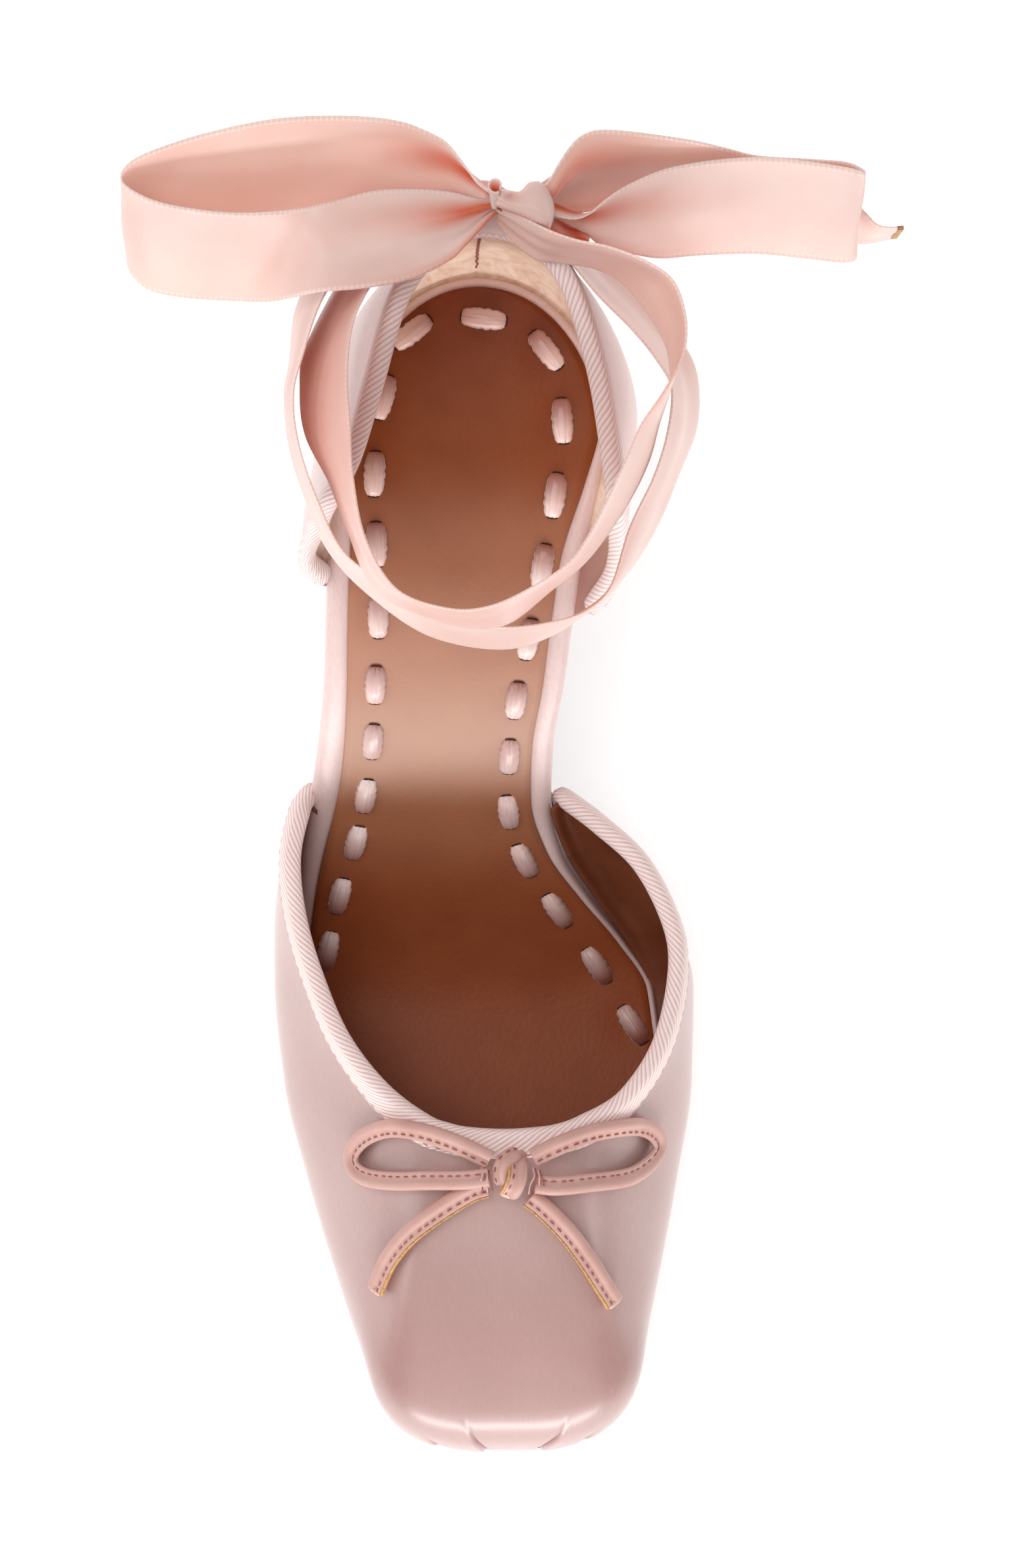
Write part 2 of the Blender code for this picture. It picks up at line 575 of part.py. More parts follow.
def sock_grow(y):
    """The rand that shows round the footbed is narrow at its ends and wide at the waist."""
    places = [TOE_CAP_FROM, -40, 20, 45, 80, SEAT_CAP_FROM]
    insets = [SOCK_END_INSET, SOCK_END_INSET, 2.8, SOCK_INSET, SOCK_INSET, SOCK_END_INSET]
    return -smooth(places, insets, min(max(y, TOE_CAP_FROM), SEAT_CAP_FROM))


def outsole_grow(y):
    """The outsole stands out past the vamp, and hides under the board at the waist."""
    lip = VAMP_WALL + CLEARANCE + LIP
    return smooth([-90, 20, 48, 140], [lip, lip, -WAIST_TUCK, -WAIST_TUCK], y)


def add_upper(collection):
    """The vamp in front and the counter behind, each open on top and underneath."""
    ring = outline(VAMP_WALL + CLEARANCE, VAMP_WAIST_Y, VAMP_WAIST_Y, True)
    walk = Walk(ring, BOARD_BOTTOM)
    counts = (VAMP_RIBS_MADE, VAMP_STEPS)
    upper_piece("vamp", VAMP_RIBS, walk, 1, counts, VAMP_WALL, collection)
    ring = outline(COUNTER_WALL + CLEARANCE, COUNTER_LATERAL_Y, COUNTER_MEDIAL_Y, False)
    walk = Walk(ring, BOARD_BOTTOM)
    counts = (COUNTER_RIBS_MADE, COUNTER_STEPS)
    upper_piece("counter", COUNTER_RIBS, walk, -1, counts, COUNTER_WALL, collection)


def heel_outline():
    """(x, y) points round the heel at the seat, from the medial end of its front face."""
    cap = heel_stations(COUNTER_WALL, HEEL_SIDES // 4)
    walls = body_stations(BREAST_Y, SEAT_CAP_FROM)
    medial = [(edge(y, 1, COUNTER_WALL), y) for y in walls + cap]
    lateral = [(edge(y, -1, COUNTER_WALL), y) for y in (walls + cap[:-1])[::-1]]
    return medial + lateral


def heel_point(seat, foot, level):
    """A point of the heel's side: it sweeps in below the seat and stands straight near the floor."""
    narrowing = 1 - (1 - level) ** HEEL_SWEEP
    top = on_bed(*seat, OUTSOLE_TOP)
    plan = Vector((top.x, top.y, 0)).lerp(Vector((*foot, 0)) * MM, narrowing)
    return plan + UP * (top.z + ((TIP_TOP + CLEARANCE) * MM - top.z) * level)


def add_heel(collection):
    """The covered block heel, from the board's seat to the top lift, and the lift under it."""
    ring = heel_outline()
    foot = []
    for x, y in ring:
        back = (y - BREAST_Y) / (HEEL_END + COUNTER_WALL - BREAST_Y)
        across = (x - TIP_MIDDLE) / SEAT_HALF_WIDTH
        foot.append((TIP_MIDDLE + across * TIP_HALF_WIDTH, TIP_FRONT + back * (TIP_BACK - TIP_FRONT)))
    loops = []
    for k in range(HEEL_STEPS + 1):
        level = k / HEEL_STEPS
        loops.append([heel_point(seat, end, level) for seat, end in zip(ring, foot, strict=True)])
    add_object("heel_block", loft("heel_block", loops), SATIN, collection)
    lift = [[Vector((*point, z)) * MM for point in foot] for z in (TIP_TOP, 0)]
    add_object("heel_tip", loft("heel_tip", lift), SOLE_RUBBER, collection)


def loft(name, loops):
    """A closed solid through loops of the same count, the first one on top."""
    made = bmesh.new()
    rings = []
    for loop in loops:
        verts = [made.verts.new(point) for point in loop]
        rings.append([made.edges.new((a, b)) for a, b in zip(verts, verts[1:] + verts[:1], strict=True)])
    for upper, lower in zip(rings, rings[1:], strict=False):
        bmesh.ops.bridge_loops(made, edges=upper + lower)
    bmesh.ops.holes_fill(made, edges=rings[0] + rings[-1])
    bmesh.ops.recalc_face_normals(made, faces=made.faces)
    mesh = bpy.data.meshes.new(name)
    made.to_mesh(mesh)
    made.free()
    return mesh


# ---------------------------------------------------------------- ribbon and bows
def strip(name, rows, collection):
    """A length of ribbon: a thin band between its upper and its lower edge."""

    def place(u, v):
        row = row_at(rows, v)
        return Vector(row[:3] * (1 - u) + row[3:] * u) * MM

    along = STRIP_STEPS * (len(rows) - 1)
    obj = surface(name, place, 2, along, RIBBON_SATIN, collection, RIBBON_THICK)
    obj.modifiers["wall"].offset = 0
    return obj


def add_keeper(collection):
    """The satin tab that holds the ribbon at the back of the heel."""

    def place(u, v):
        y, z = row_at(KEEPER_PATH, v)
        x = KEEPER_FROM + (KEEPER_TO - KEEPER_FROM) * u
        return Vector((x, y - HEEL_ROUNDNESS * x**2, z)) * MM

    steps = STRIP_STEPS * (len(KEEPER_PATH) - 1)
    obj = surface("ribbon_keeper", place, 4, steps, SATIN, collection, RIBBON_THICK)
    obj.modifiers["wall"].offset = 0


def cord(name, rows, vamp, collection):
    """A flat-sided cord that lies on the vamp along its rows."""
    steps = CORD_STEPS * (len(rows) - 1)
    stands = [stand(vamp, Lie(*row_at(rows, k / steps))) for k in range(steps + 1)]
    tube = bmesh.new()
    bmesh.ops.create_grid(tube, x_segments=CORD_SIDES, y_segments=steps, size=0.5)
    for vertex in tube.verts:
        turn, at = (vertex.co.x + 0.5) * 2 * math.pi, round((vertex.co.y + 0.5) * steps)
        here, normal = stands[at]
        along = stands[min(at + 1, steps)][0] - stands[max(at - 1, 0)][0]
        side = along.cross(normal).normalized()
        reach = side * math.cos(turn) * CORD_WIDTH / 2 + normal * math.sin(turn) * CORD_HEIGHT / 2
        vertex.co = here + reach * MM
    bmesh.ops.remove_doubles(tube, verts=tube.verts, dist=MM / 1000)
    bmesh.ops.holes_fill(tube, edges=[e for e in tube.edges if e.is_boundary])
    bmesh.ops.recalc_face_normals(tube, faces=tube.faces)
    mesh = bpy.data.meshes.new(name)
    tube.to_mesh(mesh)
    tube.free()
    add_object(name, mesh, PINK_LEATHER, collection)


def stand(vamp, lie):
    """A point that stands off the vamp, and the vamp's normal there."""
    above = Vector((lie.x, lie.y, 100)) * MM
    hit, normal, _, _ = vamp.ray_cast(above, -UP)
    return hit + normal * lie.off * MM, normal


def add_vamp_bow(collection):
    """The small bow of leather cord at the throat: a knot, two loops and two tails."""
    bpy.context.view_layer.update()
    graph = bpy.context.evaluated_depsgraph_get()
    vamp = BVHTree.FromObject(bpy.data.objects["vamp"], graph)
    cord("vamp_bow_loop_lateral", LATERAL_BOW_LOOP, vamp, collection)
    cord("vamp_bow_loop_medial", MEDIAL_BOW_LOOP, vamp, collection)
    cord("vamp_bow_tail_lateral", LATERAL_BOW_TAIL, vamp, collection)
    cord("vamp_bow_tail_medial", MEDIAL_BOW_TAIL, vamp, collection)
    centre, _ = stand(vamp, VAMP_KNOT)
    knot("vamp_bow_knot", centre / MM, VAMP_KNOT_SIZE, PINK_LEATHER, collection)


def knot(name, centre, size, finish, collection):
    """A rounded, slightly squared lump: a cage that subdivision rounds off."""
    cage = bmesh.new()
    bmesh.ops.create_cube(cage, size=1)
    for vertex in cage.verts:
        vertex.co = Vector([c * s * 1.3 for c, s in zip(vertex.co, size, strict=True)]) * MM
    mesh = bpy.data.meshes.new(name)
    cage.to_mesh(mesh)
    cage.free()
    mesh.shade_smooth()
    obj = add_object(name, mesh, finish, collection)
    obj.location = Vector(centre) * MM
    rounding = obj.modifiers.new("rounding", "SUBSURF")
    rounding.levels = rounding.render_levels = 2
    return obj


clear_scene()
shoe = bpy.data.collections.new(OBJECT_NAME)
bpy.context.scene.collection.children.link(shoe)
add_sole(shoe)
add_upper(shoe)
add_heel(shoe)
add_vamp_bow(shoe)
add_keeper(shoe)
strip("ankle_ribbon_upper", UPPER_TURN, shoe)
strip("ankle_ribbon_lower", LOWER_TURN, shoe)
strip("ribbon_loop_lateral", LATERAL_LOOP, shoe)
strip("ribbon_loop_medial", MEDIAL_LOOP, shoe)
strip("ribbon_tail_lateral", LATERAL_TAIL, shoe)
strip("ribbon_tail_medial", MEDIAL_TAIL, shoe)
knot("ribbon_knot", RIBBON_KNOT, RIBBON_KNOT_SIZE, RIBBON_SATIN, shoe)
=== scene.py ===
"""Looks of an ankle wrap pump: satin, grosgrain binding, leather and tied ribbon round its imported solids.

Row frame: +Z up, -Y the toe, +Y the heel, +X the inner (medial) side of this right shoe. The tables and
the shapes are worked out in millimetres, and turned to metres where a mesh is made.
"""

from __future__ import annotations

import logging
import math
from collections.abc import Callable, Sequence
from dataclasses import dataclass, replace
from enum import Enum
from typing import NamedTuple

import bmesh
import bpy
import numpy as np
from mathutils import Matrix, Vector
from mathutils.bvhtree import BVHTree

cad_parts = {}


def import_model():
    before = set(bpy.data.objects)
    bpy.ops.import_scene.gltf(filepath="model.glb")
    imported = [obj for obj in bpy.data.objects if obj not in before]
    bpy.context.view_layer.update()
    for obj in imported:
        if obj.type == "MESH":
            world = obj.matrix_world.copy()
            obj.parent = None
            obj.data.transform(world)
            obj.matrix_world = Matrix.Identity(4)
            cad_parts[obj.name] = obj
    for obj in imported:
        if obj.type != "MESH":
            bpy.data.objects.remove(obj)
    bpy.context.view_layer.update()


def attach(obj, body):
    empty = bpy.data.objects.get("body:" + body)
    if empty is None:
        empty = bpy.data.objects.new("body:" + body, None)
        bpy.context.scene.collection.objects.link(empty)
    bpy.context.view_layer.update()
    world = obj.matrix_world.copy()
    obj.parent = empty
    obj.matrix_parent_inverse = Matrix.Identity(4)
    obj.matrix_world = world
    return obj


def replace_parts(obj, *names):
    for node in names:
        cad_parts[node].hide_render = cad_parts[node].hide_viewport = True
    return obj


MM = 0.001
BODY = "root"
log = logging.getLogger("ankle_wrap_pump")
Array = np.ndarray
Place = Callable[[Array, Array], Array]
Along = Callable[[Array], Array]
Triple = tuple[float, float, float]
Socket = bpy.types.NodeSocket
Outputs = bpy.types.bpy_prop_collection
Value = float | str | tuple | Socket
Stops = Sequence[tuple[float, str]]


# ---------------------------------------------------------------- tables, in millimetres
class Section(NamedTuple):
    """A section of the last's bottom: height of the footbed and x of the board's two edges."""

    y: float
    bed: float
    lateral: float
    medial: float


class Rib(NamedTuple):
    """A rib of the upper: share of the way round the board, its top point and how far it leans out."""

    along: float
    x: float
    y: float
    z: float
    bulge: float


class Row(NamedTuple):
    """Both edges of a ribbon at one place along it."""

    x: float
    y: float
    z: float
    low_x: float
    low_y: float
    low_z: float


class Lie(NamedTuple):
    """A point of a cord that lies on the vamp: x, y and how high its middle stands off the satin."""

    x: float
    y: float
    off: float


def table(kind: type, *rows: tuple[float, ...]) -> tuple:
    """Rows of plain numbers, each as the kind of row that names them."""
    return tuple(kind(*row) for row in rows)


SECTIONS = table(
    Section,
    (-92, 13.4, -17.4, 23.2), (-76, 11, -18.8, 25.2), (-60, 9, -24.2, 28.6), (-34, 7.1, -32.2, 33.2),
    (-15, 7.1, -36.6, 36), (4, 7.1, -38, 34.4), (13, 10.9, -37.9, 28.6), (21, 16.3, -37, 21.4),
    (29, 23.9, -35.6, 15.4), (38, 33.9, -33.5, 12.8), (47.5, 44.5, -32, 13.2), (57.5, 54.5, -31.2, 15.1),
    (68, 62.4, -30.9, 16.6), (81, 67.8, -30.3, 18.6), (95, 71.2, -28.8, 21.8), (108, 73.8, -26.9, 23.6),
    (121, 76, -26.3, 23.5), (138, 78.6, -26.3, 23.5),
)
VAMP_RIBS = table(
    Rib,
    (0, -33.8, 41.8, 32, 0.5), (0.025, -36.6, 36.8, 37.6, 1.5), (0.06, -38.6, 27, 39.6, 3),
    (0.105, -37.5, 15.5, 39.6, 5), (0.15, -34, 3.5, 40.2, 6.5), (0.2, -28.5, -9, 41.6, 6.5),
    (0.275, -20.5, -19, 43, 6), (0.365, -12, -24.6, 44, 5), (0.41, -7.5, -26.2, 44.4, 4),
    (0.445, -3.5, -27, 44.6, 3.5), (0.5, 3.5, -27.4, 44.7, 2.5), (0.55, 10, -27, 44.6, 3.5),
    (0.58, 14, -26.4, 44.4, 5.5), (0.63, 19, -24.8, 44, 7), (0.71, 27, -20.8, 43.2, 8),
    (0.79, 34.2, -10.5, 41.8, 7), (0.845, 37.6, 3, 40.4, 8), (0.89, 37, 13.5, 39.6, 9),
    (0.94, 31, 26, 39, 8), (0.975, 22, 34.6, 37, 4), (1, 13.9, 41, 32, 0.5),
)
COUNTER_RIBS = table(
    Rib,
    (0, -30.8, 77.6, 66.9, 0.5), (0.03, -33.6, 79.5, 80, 2), (0.07, -31, 86, 94, 5),
    (0.13, -25.6, 95, 101.5, 6), (0.21, -21.3, 107, 110, 6), (0.31, -16.2, 122.5, 116.8, 5),
    (0.4, -8.6, 132, 118.6, 4), (0.48, -0.5, 135.2, 119, 4), (0.56, 8.8, 132.6, 118.6, 4),
    (0.64, 16, 125, 117.4, 5), (0.73, 21, 111, 111.6, 7), (0.81, 23.6, 98, 104.5, 7),
    (0.89, 25.2, 86, 94, 6), (0.96, 24.6, 77.5, 78, 3), (1, 20, 72, 64.5, 0.5),
)
# from the keeper round the outer side, across the front and back along the inner side to the knot
UPPER_TURN = table(
    Row,
    (-0.2, 137.6, 117, -0.2, 139.8, 95.2), (-6, 136.8, 118, -8, 139.4, 96),
    (-12, 132.8, 121.5, -17, 137.4, 100.5), (-17.5, 126, 126, -25.5, 129.5, 105.5),
    (-23, 115.5, 130, -33, 114, 110.5), (-24.5, 105, 133, -34, 105, 113.5),
    (-24, 94, 136, -32.8, 96, 116.5), (-23.5, 84.5, 138, -28.3, 87, 118),
    (-21.2, 73, 140, -24.6, 77.5, 119.8), (-15.5, 63.5, 142, -19.5, 67, 120.5),
    (-6.5, 60, 143, -8, 61.5, 121), (1, 60.5, 143, 3, 60.5, 121), (9, 64.5, 142, 12, 67, 120.5),
    (16, 70, 141, 19, 73, 119.5), (21.5, 80, 139, 26, 83, 118), (25, 87.5, 137.5, 30, 91, 117),
    (28, 94, 137.5, 32, 98, 118.5), (32, 99.5, 138.5, 33.8, 103.5, 120.3),
    (34.7, 104, 139, 33.8, 107, 120.8), (36.2, 108.5, 139.5, 33, 111.5, 120.8),
    (36, 114, 140, 30.7, 116, 120.6), (33.7, 119.7, 140.5, 26.7, 121.6, 120.8),
    (28.8, 123, 141, 22.9, 124.8, 120.9), (22.4, 125.4, 141, 18.5, 126.6, 120.4),
    (16, 127.3, 138.5, 14, 127.4, 120.6), (10.5, 130.4, 134.5, 9.4, 128, 121.5),
    (5.5, 134, 131.8, 5.2, 131.2, 122.5), (2.4, 135.6, 130.5, 2.4, 134.4, 124),
)
# from the knot round the outer side, across the front and back along the inner side to the keeper
LOWER_TURN = table(
    Row,
    (0, 136.2, 127.5, 0, 137.2, 123), (-6.8, 137.6, 126.5, -7, 139.5, 122.8),
    (-10, 137.6, 124.5, -13, 141.8, 110), (-15, 135, 123, -19.5, 140, 103.5),
    (-23.5, 128.5, 123, -29, 133.5, 102.5), (-29.5, 119.5, 124, -35, 123.5, 103),
    (-33, 109.5, 124, -36.4, 112.5, 102.5), (-34.8, 102, 124, -37.2, 106, 102.5),
    (-33.8, 93, 123.5, -36.2, 97, 102), (-30.3, 83, 121.5, -33.4, 88, 101),
    (-25.2, 73.6, 119.5, -28.6, 77.5, 99), (-15.5, 67, 119.5, -20.5, 69, 98.2),
    (-6.5, 61.5, 119.5, -10, 62, 97.8), (4, 60.5, 119.5, 3, 59.5, 97.6),
    (12.5, 61.5, 119.5, 12.5, 62, 97.6), (18.5, 63.5, 119.5, 20.5, 67.5, 98),
    (23, 68, 119.5, 26.5, 73.5, 98.5), (26.5, 78.5, 119.5, 32, 82.5, 98.5),
    (31, 88, 119.5, 36, 92.5, 98.5), (33.5, 96.5, 119.5, 39, 100.5, 98.5),
    (34, 104.5, 119, 39.5, 108.5, 98), (31, 110, 118.5, 38, 114.5, 98),
    (26.5, 115.5, 118, 33.5, 121, 97.8), (20.5, 121.5, 118, 27, 128, 98), (15, 128, 118, 19.5, 134, 97.5),
    (8, 135, 117.5, 10, 138.8, 96), (0.2, 137.6, 117, 0.2, 139.8, 95.2),
)
# the loops of the back bow, from the knot out along the near layer and back along the far one
LATERAL_LOOP = table(
    Row,
    (1.1, 136.3, 131, 2, 134.4, 129.5), (-3, 137.3, 131, -3, 128.9, 130),
    (-6.3, 138.1, 131, -6.3, 125.6, 130), (-12.5, 138.7, 130.5, -13, 122.2, 130.5),
    (-20, 138.7, 129, -21, 120.3, 131), (-28.5, 136.8, 127.5, -30, 120.2, 127.5),
    (-36, 135.6, 127, -38, 121.8, 113.5), (-46, 135.2, 127, -46, 122.8, 109),
    (-56, 136.2, 128, -56, 123.2, 110), (-62, 137.8, 129, -62.5, 124.6, 111),
    (-65.8, 140.4, 130, -65.8, 128.5, 112), (-64.5, 143.4, 130.5, -65, 132.5, 112.5),
    (-59.5, 145.9, 131, -60, 134.2, 112.5), (-50, 148.8, 131.5, -50, 136, 112.8),
    (-37.5, 151.2, 132, -37.5, 137.6, 113), (-25, 151.7, 132, -25, 138.4, 113.5),
    (-16, 150.9, 132, -16, 138.6, 115.5), (-10.5, 149.2, 131.5, -10.5, 138.6, 118),
    (-6.8, 147.4, 131, -6.8, 138.6, 120.5), (-4.2, 144.7, 131, -4.2, 138.2, 122.5),
    (-2.1, 142.1, 131, -2.1, 137.6, 124.5), (0.4, 139.3, 131, 0.6, 137, 127),
)
MEDIAL_LOOP = table(
    Row,
    (12.6, 134.8, 131, 12.6, 136.2, 122.5), (16.1, 134, 131, 15.9, 134.3, 122),
    (18.6, 134.7, 131, 18.4, 132.3, 121.5), (21.6, 137, 130.8, 21.2, 130.6, 119.5),
    (25.6, 139.6, 130, 25, 130.2, 116.5), (32.5, 142.9, 128, 32, 130, 111.5),
    (40.5, 144.6, 127, 40, 130.9, 110), (49.5, 145.2, 127, 50, 131.2, 110),
    (58, 144.4, 127.5, 59, 130.4, 110), (65, 143.2, 128.2, 66.2, 129.7, 110),
    (68.9, 142.2, 128.8, 68.4, 131.2, 109.5), (66, 144.2, 127, 66.2, 137, 107.5),
    (60, 145.2, 125, 60, 138.5, 105), (50, 145.9, 124.5, 50, 140.5, 104),
    (43.5, 147, 126.5, 43.5, 141, 106), (37.5, 147.8, 129, 37.5, 141.4, 108.5),
    (28, 148.6, 131.5, 28, 140.6, 112.5), (21.4, 149, 132, 21.8, 139, 116),
    (18, 148.1, 132, 18, 137.6, 118), (15.8, 145.8, 132, 15.8, 137.4, 119),
    (13.9, 142.5, 132, 14, 137.4, 120.5), (11.6, 138.6, 131, 11.6, 137.2, 123),
)
LATERAL_TAIL = table(
    Row,
    (5.5, 139.2, 122.5, 0.8, 139.4, 121.5), (2.5, 143.5, 114, -7, 144.2, 112),
    (-1, 144.8, 103, -14.5, 146.8, 97), (-4, 146.8, 91, -20, 149.5, 83.5), (-7, 149, 79, -24, 149.5, 71),
    (-11, 150.5, 67, -29, 149, 60),
)
MEDIAL_TAIL = table(
    Row,
    (9.5, 139.4, 125.5, 9.5, 139.2, 121.5), (17.5, 146, 124, 16.5, 144.5, 113.5),
    (25, 150, 122, 25, 147.2, 103), (38, 149.5, 117, 38, 145.5, 97), (50, 147.6, 114, 50, 143, 94),
    (60, 145.6, 113, 60, 140.2, 93), (66, 142, 113, 66.5, 137.6, 92.5), (69.6, 138.4, 113, 70, 137.2, 92),
    (72.4, 135.8, 113, 72.8, 137.5, 92), (76.6, 135.5, 113, 76.8, 138.5, 92),
)
LATERAL_BOW_LOOP = table(
    Lie,
    (0.8, -31.2, 3.6), (-4.8, -28.5, 3.2), (-12, -25.8, 2.4), (-17.5, -25, 2), (-22, -26.4, 1.9),
    (-24.6, -29, 1.9), (-24.6, -32, 1.9), (-22.2, -34.3, 1.9), (-17.5, -35.3, 1.9), (-10.3, -35.2, 2.8),
    (-3.5, -34.7, 4.6), (0.6, -34.2, 4.6),
)
MEDIAL_BOW_LOOP = table(
    Lie,
    (8.8, -30.8, 3.6), (13.5, -28.5, 3.2), (20.5, -25.5, 2.4), (27, -24.4, 2), (30.8, -25.2, 1.9),
    (32.3, -27.8, 1.9), (30.6, -31.2, 1.9), (26.3, -34.4, 1.9), (19, -35.6, 2.6), (13, -35.8, 4.6),
    (9.2, -35.4, 4.6),
)
LATERAL_BOW_TAIL = table(
    Lie,
    (0.2, -36.6, 1.6), (-3, -37.6, 1.6), (-8.5, -41, 1.6), (-14, -45.5, 1.6), (-18, -50.4, 1.6),
    (-20.5, -56, 1.6),
)
MEDIAL_BOW_TAIL = table(
    Lie,
    (8.4, -38.6, 1.6), (11, -40.6, 1.6), (15.5, -45.2, 1.6), (19.2, -50.4, 1.6), (22, -55.2, 1.6),
    (23.9, -58.6, 1.6),
)


# ---------------------------------------------------------------- colours and nodes
def linear(colour: str) -> tuple[float, float, float, float]:
    """Turn an sRGB hex colour to linear light.

    Args:
        colour: "#RRGGBB".

    Returns:
        Red, green, blue and an alpha of 1.
    """
    parts = [int(colour[k : k + 2], 16) / 255 for k in (1, 3, 5)]
    light = [c / 12.92 if c <= 0.04045 else ((c + 0.055) / 1.055) ** 2.4 for c in parts]
    return (light[0], light[1], light[2], 1.0)


class Lay(Enum):
    """Which coordinates a finish's pattern follows; a UV map here is in millimetres."""

    OBJECT = "Object"
    UV = "UV"

    @property
    def per_mm(self) -> float:
        """How many cells of these coordinates' scale make a pattern of 1 mm."""
        return 1 / MM if self is Lay.OBJECT else 1.0


class Graph:
    """A new material and the kinds of node that the finishes share."""

    wave_at_one = 0.314  # length of one wave of the wave texture at a scale of 1

    def __init__(self, name: str, roughness: float, ior: float = 1.5) -> None:
        """Start from a bare Principled shader.

        Args:
            name: The material's name.
            roughness: How rough its surface is.
            ior: Its index of refraction.
        """
        self.material = bpy.data.materials.new(name)
        self.material.use_nodes = True
        self.tree = self.material.node_tree
        self.shader = self.tree.nodes["Principled BSDF"]
        self.plug(self.shader, {"Roughness": roughness, "IOR": ior})

    def plug(self, node: bpy.types.Node, inputs: dict[str | int, Value]) -> None:
        """Set or link inputs.

        Args:
            node: The node that they belong to.
            inputs: A number, a hex colour or another node's output for each one, by name or index.
        """
        for key, value in inputs.items():
            named = (each for each in node.inputs if each.enabled and each.name == key)
            socket = node.inputs[key] if isinstance(key, int) else next(named)
            if isinstance(value, bpy.types.NodeSocket):
                self.tree.links.new(value, socket)
            else:
                socket.default_value = linear(value) if isinstance(value, str) else value

    def add(self, kind: str, inputs: dict[str | int, Value] | None = None, **settings) -> Outputs:
        """Add a node.

        Args:
            kind: The node's Blender type, after ShaderNode.
            inputs: What plug takes.
            **settings: The node's own attributes.

        Returns:
            Its outputs.
        """
        made = self.tree.nodes.new(f"ShaderNode{kind}")
        for name, value in settings.items():
            setattr(made, name, value)
        self.plug(made, inputs or {})
        return made.outputs

    def place(self, lay: Lay) -> Socket:
        """The coordinates of a lay."""
        return self.add("TexCoord")[lay.value]

    def noise(self, place: Socket, scale: float, detail: float, **more: float) -> Socket:
        """Noise from 0 to 1, with its other inputs by name in more."""
        named = {key.title(): value for key, value in more.items()}
        return self.add("TexNoise", {"Vector": place, "Scale": scale, "Detail": detail, **named})["Fac"]

    def wave(self, place: Socket, pitch: float, way: str, more: dict[str | int, Value]) -> Socket:
        """Waves a pitch apart along X or Y, in the coordinates' own unit."""
        inputs = {"Vector": place, "Scale": self.wave_at_one / pitch, **more}
        return self.add("TexWave", inputs, bands_direction=way)["Fac"]

    def math(self, operation: str, *values: Value) -> Socket:
        """One sum on one or two values."""
        return self.add("Math", dict(enumerate(values)), operation=operation)[0]

    def level(self, value: Socket, low: float, high: float) -> Socket:
        """0 where a value is at low and 1 where it is at high."""
        return self.add("MapRange", {"Value": value, "From Min": low, "From Max": high})[0]

    def heights(self, share: Value, one: Socket, two: Socket) -> Socket:
        """Two heights blended; share is how much the second counts."""
        return self.add("Mix", {"Factor": share, "A": one, "B": two}, data_type="FLOAT")[0]

    def colours(self, share: Value, one: Value, two: Value) -> Socket:
        """Two colours blended; share is how much the second counts."""
        return self.add("Mix", {"Factor": share, "A": one, "B": two}, data_type="RGBA")[2]

    def marked(self, colour: Socket, deep: str) -> Socket:
        """A colour that turns deep where the piece's "fold" mark is 1; on the satins and ribbons this paints
        shade and glow, on the suede the satin that covers it.
        """
        return self.colours(self.add("Attribute", attribute_name="fold")["Fac"], colour, deep)

    def ramp(self, value: Socket, stops: Stops, ease: str = "LINEAR") -> Socket:
        """A value from 0 to 1 turned to a colour between (place, colour) stops."""
        made = self.tree.nodes.new("ShaderNodeValToRGB")
        made.color_ramp.interpolation = ease
        elements = made.color_ramp.elements
        for at, (place, colour) in enumerate(stops):
            element = elements[at] if at < len(elements) else elements.new(place)
            element.position = place
            element.color = linear(colour)
        self.plug(made, {"Fac": value})
        return made.outputs["Color"]

    def cover(self, colour: Socket, height: Socket, strength: float, depth: float) -> None:
        """Give the shader its colour and, depth millimetres deep, its relief."""
        bump = self.add("Bump", {"Strength": strength, "Distance": depth * MM, "Height": height})
        self.plug(self.shader, {"Base Color": colour, "Normal": bump[0]})

    def fuzz(self, weight: float, tint: str, roughness: float = 0.5) -> None:
        """Give the shader a cloth's sheen."""
        sheen = {"Sheen Weight": weight, "Sheen Tint": tint, "Sheen Roughness": roughness}
        self.plug(self.shader, sheen)


# ---------------------------------------------------------------- finishes
class Slot(Enum):
    """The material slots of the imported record."""

    SATIN = "satin"
    RIBBON = "ribbon"
    BROWN_LEATHER = "brown_leather"
    PINK_LEATHER = "pink_leather"
    RUBBER = "sole_rubber"


@dataclass(frozen=True)
class Finish:
    """What every finish has: a name, its slot and the numbers that its real material sets."""

    name: str
    slot: Slot
    dark: str
    light: str
    roughness: float
    ior: float = 1.5

    def material(self) -> bpy.types.Material:
        """Make the material once.

        Returns:
            The material of this finish.
        """
        made = bpy.data.materials.get(self.name)
        if made is None:
            graph = Graph(self.name, self.roughness, self.ior)
            self.dress(graph)
            made = graph.material
        return made

    def tone(self, graph: Graph, value: Socket, low: float, high: float) -> Socket:
        """The dark colour where a value is at low, turning to the light one at high."""
        return graph.ramp(value, ((low, self.dark), (high, self.light)))

    def dress(self, graph: Graph) -> None:
        """Give the shader its colour and relief; each kind of finish has its own way."""
        raise NotImplementedError


